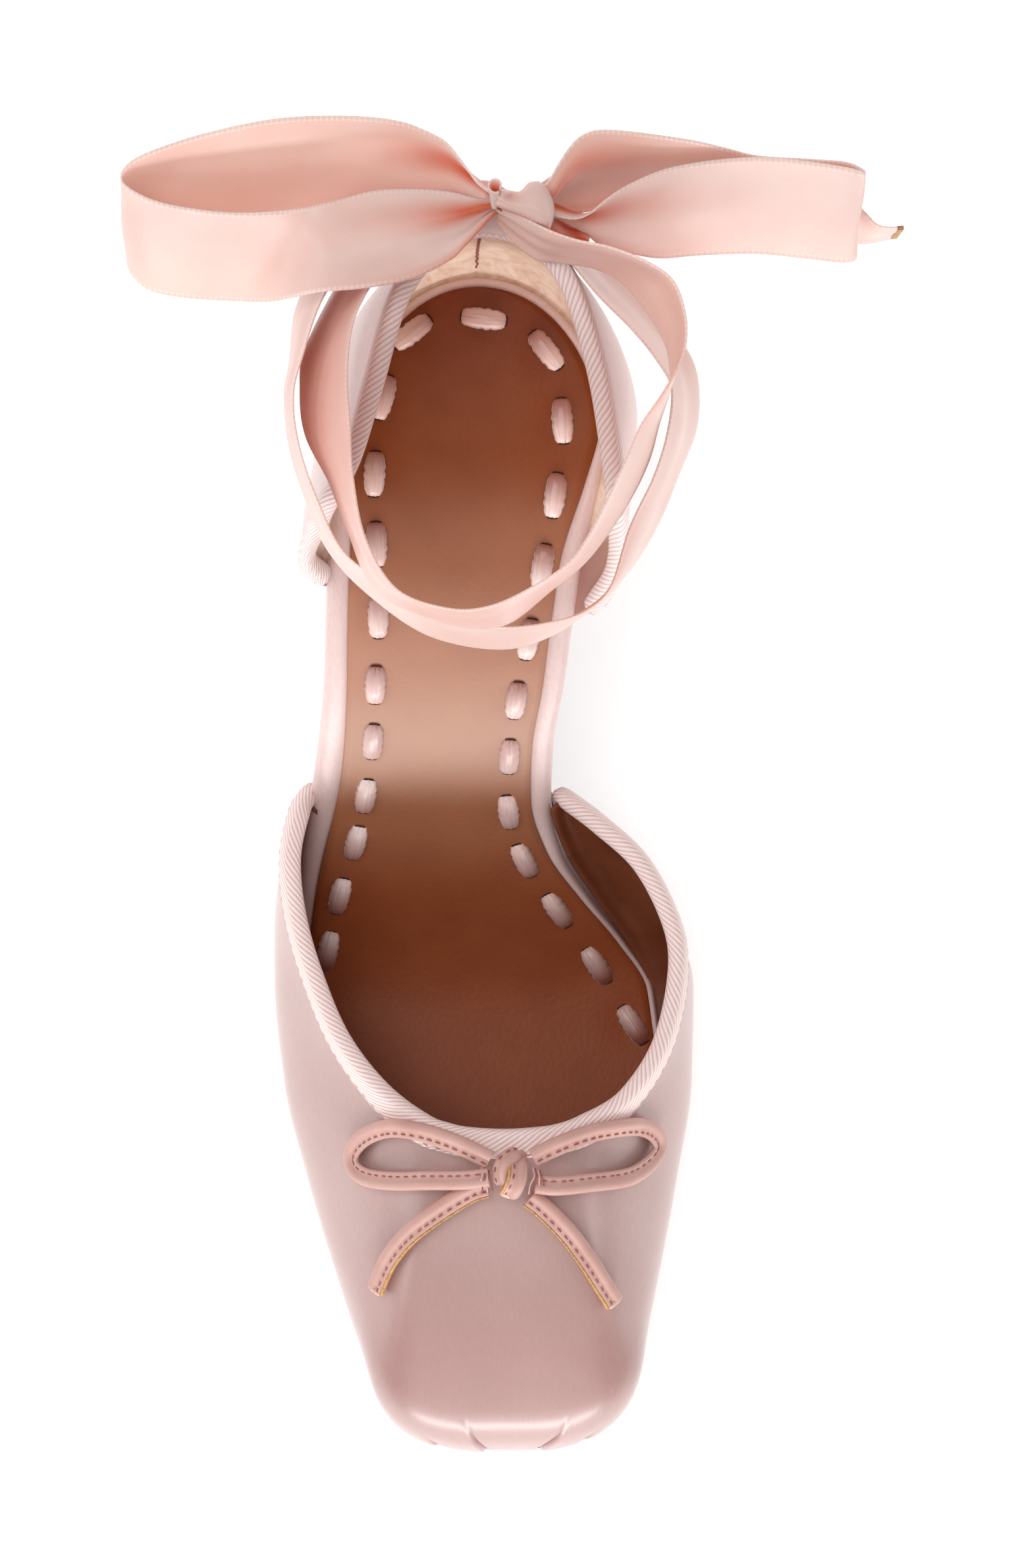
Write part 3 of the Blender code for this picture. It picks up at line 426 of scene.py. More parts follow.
@dataclass(frozen=True)
class SatinCloth(Finish):
    """Polyester satin over board: long floats give it a soft, directional gloss and faint slubs.

    slub is (across, along) of one streak and clouds the size of the broad mottling, in millimetres;
    gloss is the specular level. Satin's warp is about 0.25 mm apart, too fine to show, so weave draws
    the relief wider.
    """

    lay: Lay = Lay.OBJECT
    slub: tuple[float, float] = (0.45, 1.6)
    sheen: float = 0.5
    relief: float = 0.2
    gloss: float = 0.5
    clouds: float = 22.0
    weave: float = 0.45
    # colour of the painted shade where the piece's "fold" mark is 1
    deep: str = ""

    def dress(self, graph: Graph) -> None:
        """Streaks of colour along the floats, broad mottling and a fine weave in relief."""
        unit, place = self.lay.per_mm, graph.place(self.lay)
        across, along = self.slub
        scale = (unit / across, unit / along, unit / along)
        slubs = graph.noise(graph.add("Mapping", {"Vector": place, "Scale": scale})[0], 1.0, 3.0)
        broad = graph.noise(place, unit / self.clouds, 2.0)
        colour = self.tone(graph, graph.heights(0.6, slubs, broad), 0.30, 0.70)
        if self.deep:
            colour = graph.marked(colour, self.deep)
        woven = graph.heights(0.35, slubs, graph.noise(place, unit / self.weave, 1.0))
        graph.cover(colour, woven, self.relief, 0.05)
        graph.fuzz(self.sheen, "#FFF2EE", 0.35)
        graph.plug(graph.shader, {"Specular IOR Level": self.gloss})


@dataclass(frozen=True)
class RibbonSatin(Finish):
    """Single-faced woven ribbon: fine ribs along it, beaded selvages, and painted shade and glow in its
    folds.

    The UV map's U runs across from the upper edge and V along. The mark "fold" is 0 in the open and 1
    deep in a gather, where shade and the orange glow of light that has been through the cloth are painted
    into the colour. The ribs are 0.3 mm apart on such ribbon, and are drawn wider, so that they show.
    """

    # colour of the painted shade and glow where the "fold" mark is 1
    deep: str = "#C65F3E"
    bead_colour: str = "#FBE6DF"
    width: float = 22.0
    selvage: float = 1.0
    ribs: float = 0.7
    beads: float = 1.0
    mottle: float = 16.0
    relief: float = 0.12
    lets_through: float = 0.5

    def dress(self, graph: Graph) -> None:
        """Ribs, beaded selvages and the painted shade and glow of the folds."""
        place = graph.place(Lay.UV)
        across = graph.add("SeparateXYZ", {"Vector": place})["X"]
        ribs = graph.wave(place, self.ribs, "X", {"Distortion": 0.6, "Detail": 1.0, "Detail Scale": 0.4})
        beads = graph.wave(place, self.beads, "Y", {"Distortion": 0.3})
        off_middle = graph.math("ABSOLUTE", graph.math("SUBTRACT", across, self.width / 2))
        inner = self.width / 2 - self.selvage
        edge = graph.level(off_middle, inner - 0.1, inner + 0.1)
        shown = graph.math("MULTIPLY", graph.math("MULTIPLY", beads, edge), 0.3)
        tone = self.tone(graph, graph.noise(place, 1 / self.mottle, 2.0), 0.25, 0.75)
        colour = graph.marked(graph.colours(shown, tone, self.bead_colour), self.deep)
        graph.cover(colour, graph.heights(edge, ribs, beads), self.relief, 0.06)
        graph.fuzz(0.25, "#FFEFE9", 0.3)
        # the cloth is thin: some of the light goes through and comes out orange
        thin = {"Subsurface Weight": self.lets_through, "Subsurface Scale": 2.2 * MM}
        graph.plug(graph.shader, {**thin, "Subsurface Radius": (1.0, 0.48, 0.38)})


@dataclass(frozen=True)
class Grosgrain(Finish):
    """Twill binding tape: cords a pitch apart in millimetres, slanting by an angle in degrees."""

    pitch: float = 0.66
    slant: float = 27.0
    relief: float = 0.7

    def dress(self, graph: Graph) -> None:
        """Cords in relief with painted shade in the valleys between them."""
        slant = (0.0, 0.0, math.radians(self.slant))
        turned = graph.add("Mapping", {"Vector": graph.place(Lay.UV), "Rotation": slant})[0]
        cords = graph.wave(turned, self.pitch, "X", {"Distortion": 0.5, "Detail": 1.0})
        graph.cover(self.tone(graph, cords, 0.05, 0.5), cords, self.relief, 0.12)
        graph.fuzz(0.2, "#FFF4F0")


@dataclass(frozen=True)
class Leather(Finish):
    """Finished leather: pebbled grain in relief, and on the footbed a tone that varies along the foot, with a
    painted sheen over the shank.

    grain and mottle are the sizes of a pebble and of a patch, in millimetres. tone_and_sheen is (y, colour)
    from toe to heel, in millimetres, laid under the grain's own variation; its pale stops over the shank
    are a painted sheen where the shank slopes towards the light.
    """

    grain: float = 0.9
    mottle: float = 9.0
    relief: float = 0.3
    tone_and_sheen: tuple[tuple[float, str], ...] = ()
    tone_and_sheen_share: float = 0.72

    def dress(self, graph: Graph) -> None:
        """Grain in relief, mottled colour and, on the footbed, its tone along the foot with a painted sheen
        over the shank.
        """
        place, unit = graph.place(Lay.OBJECT), Lay.OBJECT.per_mm
        colour = self.tone(graph, graph.noise(place, unit / self.mottle, 4.0), 0.32, 0.68)
        if self.tone_and_sheen:
            y = graph.add("SeparateXYZ", {"Vector": place})["Y"]
            first, last = self.tone_and_sheen[0][0], self.tone_and_sheen[-1][0]
            stops = [((at - first) / (last - first), shade) for at, shade in self.tone_and_sheen]
            bands = graph.ramp(graph.level(y, first * MM, last * MM), stops, "EASE")
            colour = graph.colours(self.tone_and_sheen_share, colour, bands)
        pebbles = {"Vector": place, "Scale": unit / self.grain}
        height = graph.add("TexVoronoi", pebbles, feature="SMOOTH_F1")["Distance"]
        graph.cover(colour, height, self.relief, 0.1)
        graph.plug(graph.shader, {"Specular IOR Level": 0.3})


@dataclass(frozen=True)
class Suede(Finish):
    """Sueded lining: brushed fibres scatter light, with darker patches where the nap lies down.

    nap and fibre are the sizes of those patches and of the fuzz, in millimetres; deep is the satin
    that covers it where its "fold" mark is 1.
    """

    nap: float = 3.5
    fibre: float = 0.4
    relief: float = 0.45
    deep: str = "#AC7A70"

    def dress(self, graph: Graph) -> None:
        """Blotches of nap and a fuzzy relief."""
        place, unit = graph.place(Lay.OBJECT), Lay.OBJECT.per_mm
        nap = graph.noise(place, unit / self.nap, 6.0, roughness=0.65, distortion=0.6)
        colour = graph.marked(self.tone(graph, nap, 0.35, 0.6), self.deep)
        graph.cover(colour, graph.noise(place, unit / self.fibre, 3.0), self.relief, 0.12)
        graph.fuzz(0.5, "#F5E2CC", 0.6)


@dataclass(frozen=True)
class Speckled(Finish):
    """A plain finish with fine noise: moulded rubber, raw leather, singed ribbon or waxed thread."""

    grain: float = 0.8
    relief: float = 0.3

    def dress(self, graph: Graph) -> None:
        """Speckles of two tones, raised a little."""
        specks = graph.noise(graph.place(Lay.OBJECT), Lay.OBJECT.per_mm / self.grain, 3.0)
        graph.cover(self.tone(graph, specks, 0.35, 0.65), specks, self.relief, 0.1)


# woven polyester satin, calendered: soft broad gloss, so its roughness is between silk and cotton
# the vamp's deep colour is painted shade, in the toe's folds and over the toe above its break
VAMP_SATIN = SatinCloth("dusty_pink_satin", Slot.SATIN, "#B18F8A", "#BE9C97", 0.31, gloss=1.0, deep="#8E2C18")
COUNTER_SATIN = SatinCloth("heel_cup_satin", Slot.SATIN, "#DCC0BC", "#E8D2CE", 0.40)
HEEL_SATIN = SatinCloth("heel_cover_satin", Slot.SATIN, "#C39C96", "#CFA9A3", 0.38)
# the rand's deep colour is painted shade under the upper, browned like light bounced off the footbed
RAND_SATIN = SatinCloth("rand_satin", Slot.SATIN, "#DDBDB8", "#ECD4D0", 0.34, relief=0.12, deep="#864A3C")
# satin ribbon pulled through the footbed: bright floats along each stitch; its deep colour is painted shade
LACING_SATIN = SatinCloth(
    "lacing_satin", Slot.SATIN, "#DDB0A6", "#FBE9E5", 0.25,
    lay=Lay.UV, slub=(0.35, 7.0), relief=0.35, deep="#9C5A4C",
)
RIBBON = RibbonSatin("ribbon_satin", Slot.RIBBON, "#DFB8B0", "#E7C4BC", 0.38)
SINGED = Speckled("singed_ribbon_edge", Slot.RIBBON, "#8C5A2C", "#C98F50", 0.5, grain=1.5)
BINDING = Grosgrain("grosgrain_binding", Slot.SATIN, "#DCB7B1", "#F9E4E0", 0.5)
PALE_BINDING = Grosgrain("pale_grosgrain_binding", Slot.SATIN, "#DDBFBA", "#F9EAE7", 0.45)
# aniline lining leather, semi-matt; its tone changes along the foot, and the paler band over the shank is
# painted sheen
FOOTBED_LEATHER = Leather(
    "footbed_leather", Slot.BROWN_LEATHER, "#7C3D1E", "#94522F", 0.42, 1.4,
    relief=0.5,
    tone_and_sheen=(
        # the pale stops at 48 and 64 mm are a painted sheen where the shank slopes towards the light
        (-80, "#97441C"), (-5, "#9C4A22"), (20, "#984C2A"), (36, "#A86B4C"), (48, "#D2A994"),
        (64, "#C2907A"), (82, "#B0775C"), (102, "#8A4418"), (134, "#722C00"),
    ),
)
VAMP_LINING = Leather("vamp_lining_leather", Slot.BROWN_LEATHER, "#6E3820", "#83472D", 0.5)
CORD_LEATHER = Leather(
    "piped_cord_leather", Slot.PINK_LEATHER, "#C4978D", "#D2A89E", 0.40, grain=0.7, relief=0.12
)
RAW_EDGE = Speckled("raw_leather_edge", Slot.PINK_LEATHER, "#B98346", "#DDAF76", 0.8, grain=0.5)
CUT_END = Speckled("cut_cord_end", Slot.PINK_LEATHER, "#E3B9A6", "#F0D3C2", 0.8, grain=0.5)
THREAD = Speckled("mauve_thread", Slot.PINK_LEATHER, "#8E5049", "#A8645B", 0.6, grain=0.3)
ROSE_THREAD = Speckled("rose_thread", Slot.SATIN, "#B27D74", "#C4928A", 0.6, grain=0.3)
PALE_THREAD = Speckled("pale_thread", Slot.SATIN, "#D9A9A0", "#EBC6BE", 0.6, grain=0.3)
# painted shadow, for the dark down in the lacing's slits
DARK_GAP = Speckled("slit_shadow", Slot.BROWN_LEATHER, "#2A120A", "#3A1A0F", 0.9, grain=0.4)
SUEDE = Suede("counter_suede", Slot.SATIN, "#E6C4AE", "#FDEAD8", 0.95)
# moulded rubber, matt with a fine stipple
RUBBER = Speckled("sole_rubber", Slot.RUBBER, "#2B2726", "#3A3533", 0.7, grain=0.9)


# ---------------------------------------------------------------- smooth lines and meshes
class Line:
    """A smooth line through knots that stays level where they are level."""

    def __init__(self, xs: Sequence[float], ys: Sequence[float]) -> None:
        """Work out the slope at each knot.

        Args:
            xs: Where the knots are, rising.
            ys: The values there.
        """
        self.xs, self.ys = np.asarray(xs, float), np.asarray(ys, float)
        gaps = np.diff(self.xs)
        slopes = np.diff(self.ys) / gaps
        self.slopes = np.zeros(len(self.xs))
        self.slopes[0], self.slopes[-1] = slopes[0], slopes[-1]
        for k in range(1, len(slopes)):
            a, b = slopes[k - 1], slopes[k]
            if a * b > 0:
                w1, w2 = 2 * gaps[k] + gaps[k - 1], gaps[k] + 2 * gaps[k - 1]
                self.slopes[k] = (w1 + w2) / (w1 / a + w2 / b)

    def __call__(self, x: Array | float) -> Array:
        """The line's value at x."""
        k = np.clip(np.searchsorted(self.xs, x) - 1, 0, len(self.xs) - 2)
        gap = self.xs[k + 1] - self.xs[k]
        t = (x - self.xs[k]) / gap
        start = self.ys[k] * (2 * t**3 - 3 * t**2 + 1) + self.slopes[k] * gap * (t**3 - 2 * t**2 + t)
        end = self.ys[k + 1] * (3 * t**2 - 2 * t**3) + self.slopes[k + 1] * gap * (t**3 - t**2)
        return start + end


def rows_at(rows: Sequence[NamedTuple], place: Array) -> Array:
    """Read a table between its rows, on a Catmull-Rom curve.

    Args:
        rows: The table.
        place: Where to read it, from 0 at the first row to 1 at the last.

    Returns:
        One row of numbers for each place.
    """
    table = np.array(rows, float)
    table = np.vstack([2 * table[0] - table[1], table, 2 * table[-1] - table[-2]])
    at = within(place) * (len(rows) - 1)
    k = np.minimum(at.astype(int), len(rows) - 2)
    t = (at - k)[:, None]
    before, a, b, after = (table[k + n] for n in range(4))
    return 0.5 * (
        2 * a
        + (b - before) * t
        + (2 * before - 5 * a + 4 * b - after) * t**2
        + (3 * a - before - 3 * b + after) * t**3
    )


def unit(vectors: Array) -> Array:
    """The vectors at length 1."""
    return vectors / np.maximum(np.linalg.norm(vectors, axis=-1, keepdims=True), 1e-12)


def lengths(line: Array) -> Array:
    """Length along a line of points from its start to each of them."""
    return np.concatenate([[0], np.cumsum(np.linalg.norm(np.diff(line, axis=0), axis=1))])


def hump(x: Array, reach: float, power: float = 2.0) -> Array:
    """1 where x is 0, fading over a reach to both sides, more squarely for a higher power."""
    return np.exp(-(np.abs(x / reach) ** power))


def swing(turns: Array) -> Array:
    """The sine of a number of whole turns."""
    return np.sin(2 * math.pi * turns)


def within(x: Array) -> Array:
    """x held between 0 and 1."""
    return np.clip(x, 0, 1)


def bent_sheet(
    name: str,
    place: Place,
    cells: tuple[int, int],
    flat: Place | None = None,
    marks: dict[str, Place] | None = None,
    closed: bool = False,
) -> bpy.types.Object:
    """A grid of faces bent into shape.

    Args:
        name: The piece's name.
        place: Gives the point, in millimetres, for arrays of u and v from 0 to 1.
        cells: Faces along u and along v.
        flat: Gives the UV map for u and v; u and v themselves if left out.
        marks: Attributes to keep on the points, each worked out from u and v.
        closed: Whether its edges meet and are sewn, so that it turns into a solid.

    Returns:
        The object, in the scene, facing along the cross product of u and v.
    """
    grid = bmesh.new()
    layer = grid.loops.layers.uv.new("UVMap")
    bmesh.ops.create_grid(grid, x_segments=cells[0], y_segments=cells[1], size=0.5)
    grid.verts.index_update()
    uv = within(np.array([vertex.co[:2] for vertex in grid.verts]) + 0.5)
    points = place(uv[:, 0], uv[:, 1]) * MM
    for vertex, point in zip(grid.verts, points, strict=True):
        vertex.co = point
    mapped = flat(uv[:, 0], uv[:, 1]) if flat else uv
    for face in grid.faces:
        for loop in face.loops:
            loop[layer].uv = mapped[loop.vert.index]
    for mark, worked_out in (marks or {}).items():
        kept = grid.verts.layers.float.new(mark)
        for vertex, value in zip(grid.verts, worked_out(uv[:, 0], uv[:, 1]), strict=True):
            vertex[kept] = value
    if closed:
        bmesh.ops.remove_doubles(grid, verts=grid.verts, dist=1e-3 * MM)
        bmesh.ops.recalc_face_normals(grid, faces=grid.faces)
    return to_object(name, grid)


def to_object(name: str, shape: bmesh.types.BMesh) -> bpy.types.Object:
    """Put a finished bmesh in the scene as a smooth-shaded object and free it."""
    mesh = bpy.data.meshes.new(name)
    shape.to_mesh(mesh)
    shape.free()
    mesh.shade_smooth()
    made = bpy.data.objects.new(name, mesh)
    bpy.context.scene.collection.objects.link(made)
    return made


def thicken(piece: bpy.types.Object, thickness: float, offset: float = -1.0) -> None:
    """Give a sheet its thickness in millimetres; an offset of -1 puts it behind the face."""
    wall = piece.modifiers.new("wall", "SOLIDIFY")
    wall.thickness = thickness * MM
    wall.offset = offset


def round_edges(piece: bpy.types.Object, radius: float, segments: int = 3) -> None:
    """Round a piece's sharp edges, in millimetres."""
    bevel = piece.modifiers.new("rounding", "BEVEL")
    bevel.width = radius * MM
    bevel.segments = segments
    bevel.limit_method = "ANGLE"
    bevel.angle_limit = math.radians(50)
    bevel.harden_normals = False


def dress(piece: bpy.types.Object, finish: Finish, *nodes: str) -> bpy.types.Object:
    """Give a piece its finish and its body.

    Args:
        piece: The piece.
        finish: Its finish.
        *nodes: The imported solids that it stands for.

    Returns:
        The same piece.
    """
    piece.data.materials.append(finish.material())
    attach(piece, BODY)
    if nodes:
        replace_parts(piece, *nodes)
    log.info("%s: %s, %d faces", piece.name, finish.name, len(piece.data.polygons))
    return piece


def beads(name: str, points: Array, along: Array, up: Array, size: Triple) -> bpy.types.Object:
    """Many small rounded lozenges in one mesh: stitches of thread or of narrow ribbon.

    Args:
        name: The piece's name.
        points: Where each stands, in millimetres.
        along: The direction of each one's length.
        up: The direction that it faces.
        size: Length, width and height, in millimetres.

    Returns:
        The joined mesh, with a UV map in millimetres on each.
    """
    many = bmesh.new()
    layer = many.loops.layers.uv.new("UVMap")
    for point, way, face_up in zip(points, unit(along), unit(up), strict=True):
        side = np.cross(face_up, way)
        made = bmesh.ops.create_icosphere(many, subdivisions=2, radius=0.5)
        local = {vertex: np.array(vertex.co) for vertex in made["verts"]}
        for vertex, co in local.items():
            round_end = np.sign(co[0]) * abs(2 * co[0]) ** 0.7 / 2
            at = way * round_end * size[0] + side * co[1] * size[1] + face_up * co[2] * size[2]
            vertex.co = (point + at) * MM
        for face in {face for vertex in local for face in vertex.link_faces}:
            for loop in face.loops:
                co = local[loop.vert]
                loop[layer].uv = (co[1] * size[1], co[0] * size[0])
    bmesh.ops.recalc_face_normals(many, faces=many.faces)
    return to_object(name, many)


def loft(name: str, loops: Sequence[Array]) -> bpy.types.Object:
    """A closed solid through loops of the same count, in millimetres, the first one on top."""
    made = bmesh.new()
    rings = []
    for loop in loops:
        verts = [made.verts.new(point * MM) for point in loop]
        rings.append([made.edges.new((a, b)) for a, b in zip(verts, verts[1:] + verts[:1], strict=True)])
    for upper, lower in zip(rings, rings[1:], strict=False):
        bmesh.ops.bridge_loops(made, edges=upper + lower)
    bmesh.ops.holes_fill(made, edges=rings[0] + rings[-1])
    bmesh.ops.recalc_face_normals(made, faces=made.faces)
    return to_object(name, made)


def tube(name: str, line: Array, radius: float, sides: int) -> bpy.types.Object:
    """A round cord along a line, closed at both ends.

    Args:
        name: The piece's name.
        line: The points that it follows, in millimetres.
        radius: Its radius, in millimetres.
        sides: How many sides it has.

    Returns:
        The object.
    """
    ways = unit(np.gradient(line, axis=0))
    side = unit(np.cross(ways[0], [0.0, 0.0, 1.0]) + 1e-9)
    turns = 2 * math.pi * np.arange(sides)[:, None] / sides
    loops = []
    for point, way in zip(line, ways, strict=True):
        side = unit(side - way * np.dot(side, way))
        spokes = side * np.cos(turns) + np.cross(side, way) * np.sin(turns)
        loops.append(point + spokes * radius)
    return loft(name, loops)


# ---------------------------------------------------------------- the last and the walls on it
TOE_CAP_FROM, TOE_END = -73.0, -84.3
SEAT_CAP_FROM, HEEL_END = 104.0, 134.0
# depths below the footbed
BOARD_BOTTOM, OUTSOLE_TOP = 4.3, 4.8


class Last:
    """The bottom of the last, which every piece of the shoe is set out from."""

    cap_steps = 26
    outline_steps = 24
    cap_share = 0.985

    def __init__(self) -> None:
        """Smooth the sections into lines."""
        ys = [row.y for row in SECTIONS]
        bed = Line(ys, [row.bed for row in SECTIONS])
        fine = np.arange(ys[0], ys[-1] + 0.5, 1.0)
        spread, reach = 6.0, 18
        near = np.exp(-(np.arange(-reach, reach + 1) ** 2) / (2 * spread**2))
        padded = np.pad(bed(fine), reach, mode="reflect", reflect_type="odd")
        self.bed = Line(fine, np.convolve(padded, near / near.sum(), mode="valid"))
        self.lateral = Line(ys, [row.lateral for row in SECTIONS])
        self.medial = Line(ys, [row.medial for row in SECTIONS])
        ends = [TOE_CAP_FROM, -40, 20, 45, 80, SEAT_CAP_FROM]
        self.sock_inset = Line(ends, [1.9, 1.9, 2.8, 4.4, 4.4, 1.9])
        self.sole_lip = Line([-90, -60, 20, 48, 140], [1.8, 2.1, 2.1, -1.5, -1.5])

    def on_bed(self, x: Array, y: Array, depth: Array | float) -> Array:
        """The footbed's point at (x, y), carried a depth down along its normal."""
        slope = self.bed(y + 0.5) - self.bed(y - 0.5)
        long = np.hypot(1, slope)
        return np.stack([x + 0 * y, y + depth * slope / long, self.bed(y) - depth / long], axis=-1)

    def edge(self, y: Array, side: int, grow: Array | float) -> Array:
        """x of the board's edge at y, on the lateral (-1) or medial (1) side, moved out by grow."""
        lateral, medial = self.lateral(y), self.medial(y)
        back = within((y - SEAT_CAP_FROM) / (HEEL_END + grow - SEAT_CAP_FROM))
        front = within((TOE_CAP_FROM - y) / (TOE_CAP_FROM - TOE_END + grow))
        half = ((medial - lateral) / 2 + grow) * np.sqrt(1 - back**2) * (1 - front**2.5) ** (1 / 3)
        return (lateral + medial) / 2 + side * half

    def toe_stations(self, grow: float, steps: int, last: float = 1.0) -> Array:
        """The y of stations from the tip of the toe to where its cap starts."""
        turns = math.pi / 2 * last * (1 - np.arange(steps) / steps)
        return TOE_CAP_FROM - (TOE_CAP_FROM - TOE_END + grow) * np.sin(turns) ** 0.8

    def heel_stations(self, grow: float, steps: int, last: float = 1.0) -> Array:
        """The y of stations from where the heel's cap starts to its end."""
        turns = math.pi / 2 * last * (np.arange(steps) + 1) / steps
        return SEAT_CAP_FROM + (HEEL_END + grow - SEAT_CAP_FROM) * np.sin(turns)

    def stations(self, grow: float, stop: float = HEEL_END) -> Array:
        """The y of all the stations of a plate, a millimetre apart, from the toe to the heel or to stop."""
        end = min(stop, SEAT_CAP_FROM)
        body = np.linspace(TOE_CAP_FROM, end, round(end - TOE_CAP_FROM))
        parts = [self.toe_stations(grow, self.cap_steps, self.cap_share), body]
        if stop > SEAT_CAP_FROM:
            parts.append(self.heel_stations(grow, self.cap_steps, self.cap_share))
        return np.concatenate(parts)

    def outline(self, grow: float, start: float, end: float, toe: bool) -> Array:
        """(x, y) round the board from the lateral edge at start to the medial edge at end.

        Args:
            grow: How far the outline stands out from the board's.
            start: y where it starts, on the lateral side.
            end: y where it ends, on the medial side.
            toe: Whether it goes round the toe, and not round the heel.

        Returns:
            The points, one in each row.
        """
        near, steps = TOE_CAP_FROM if toe else SEAT_CAP_FROM, self.outline_steps
        lateral, medial = (
            np.linspace(near, y, max(round(abs(y - near) / 1.5), 1) + 1) for y in (start, end)
        )
        cap = self.toe_stations(grow, steps) if toe else self.heel_stations(grow, steps)[::-1]
        there = np.concatenate([lateral[::-1], cap[::-1]])
        back = np.concatenate([cap[1:], medial])
        xs = np.concatenate([self.edge(there, -1, grow), self.edge(back, 1, grow)])
        return np.stack([xs, np.concatenate([there, back])], axis=-1)

    def sock_grow(self, y: Array) -> Array:
        """How far in from the board's edge the leather of the footbed stops."""
        return -self.sock_inset(np.clip(y, TOE_CAP_FROM, SEAT_CAP_FROM))


LAST = Last()
GLUED_GAP = 0.15


class Walk:
    """A line round the board at one depth, read by the share of its length."""

    def __init__(self, points: Array, depth: float) -> None:
        """Measure the line.

        Args:
            points: (x, y) along it.
            depth: How far it runs below the footbed.
        """
        self.flat = points
        self.depth = depth
        long = lengths(LAST.on_bed(points[:, 0], points[:, 1], depth))
        self.share = long / long[-1]

    def plan(self, share: Array) -> Array:
        """(x, y) at a share of the length."""
        return np.stack([np.interp(share, self.share, self.flat[:, k]) for k in range(2)], axis=-1)

    def at(self, share: Array) -> Array:
        """The point at a share of the length."""
        flat = self.plan(share)
        return LAST.on_bed(flat[:, 0], flat[:, 1], self.depth)

    def outward(self, share: Array, turn: int) -> Array:
        """The level direction away from the board; turn is 1 round the toe and -1 round the heel."""
        way = self.plan(np.minimum(share + 0.01, 1)) - self.plan(np.maximum(share - 0.01, 0))
        return turn * unit(np.stack([way[:, 1], -way[:, 0], 0 * way[:, 0]], axis=-1))


class Wall:
    """The outer face of a piece of the upper, through ribs that stand round the board.

    Each rib is a curve of four points. Its two handles reach shares of its height and of its level run,
    and both are longer on the ribs that run far over the toe, which makes the toe box square.
    """

    far_run = 55.0
    low_handle, low_handle_far = 0.36, 0.12
    high_handle, high_handle_far = 0.62, 0.07
    top_lean, top_drop = 2.5, 0.32

    def __init__(self, ribs: Sequence[Rib], ring: Array, turn: int, thick: float) -> None:
        """Keep the ribs and the line that they stand on.

        Args:
            ribs: The ribs, from the lateral end to the medial end.
            ring: (x, y) of the line round the board.
            turn: 1 round the toe and -1 round the heel.
            thick: Thickness of the wall.
        """
        self.ribs, self.turn, self.thick = ribs, turn, thick
        self.walk = Walk(ring, BOARD_BOTTOM)

    def skin(self, u: Array, v: Array) -> Array:
        """The outer face: u along the board from 0 to 1, v up a rib from 0 at the sole to 1."""
        row = rows_at(self.ribs, u)
        share = within(row[:, 0])
        foot, out, top = self.walk.at(share), self.walk.outward(share, self.turn), row[:, 1:4]
        height = (top[:, 2:] - foot[:, 2:]) * [0.0, 0.0, 1.0]
        level = (foot - top) * [1.0, 1.0, 0.0]
        far = within(np.linalg.norm(level, axis=1, keepdims=True) / self.far_run)
        far = far * far * (3 - 2 * far)
        low = foot + out * row[:, 4:5] + height * (self.low_handle + self.low_handle_far * far**2)
        over = level * (self.high_handle + self.high_handle_far * far**2) * far
        high = top + over + out * self.top_lean * (1 - far) - self.top_drop * height
        t = v[:, None]
        return (
            foot * (1 - t) ** 3 + low * 3 * t * (1 - t) ** 2 + high * 3 * t**2 * (1 - t) + top * t**3
        )

    def normal(self, u: Array, v: Array) -> Array:
        """The direction that the outer face looks in."""
        du = self.skin(np.minimum(u + 0.002, 1), v) - self.skin(np.maximum(u - 0.002, 0), v)
        dv = self.skin(u, np.minimum(v + 0.01, 1)) - self.skin(u, np.maximum(v - 0.01, 0))
        return unit(np.cross(du, dv)) * self.turn

    def at(self, u: Array, v: Array, off: Array | float = 0.0) -> Array:
        """A point that stands off the outer face, or inside it where off is below 0."""
        away = np.broadcast_to(np.asarray(off, float), u.shape)[:, None]
        return self.skin(u, v) + self.normal(u, v) * away

    def down(self, u: Array, drop: Array) -> Array:
        """v of the point that lies a length down each rib from its top edge."""
        levels = np.linspace(1, 0.35, 50)
        many = np.repeat(u, len(levels))
        rib = self.skin(many, np.tile(levels, len(u))).reshape(len(u), len(levels), 3)
        return np.array([np.interp(d, lengths(one), levels) for d, one in zip(drop, rib, strict=True)])

    def long(self, u: Array) -> Array:
        """Length along the top edge from its start to u."""
        fine = np.linspace(0, 1, 600)
        return np.interp(u, fine, lengths(self.skin(fine, np.ones_like(fine))))


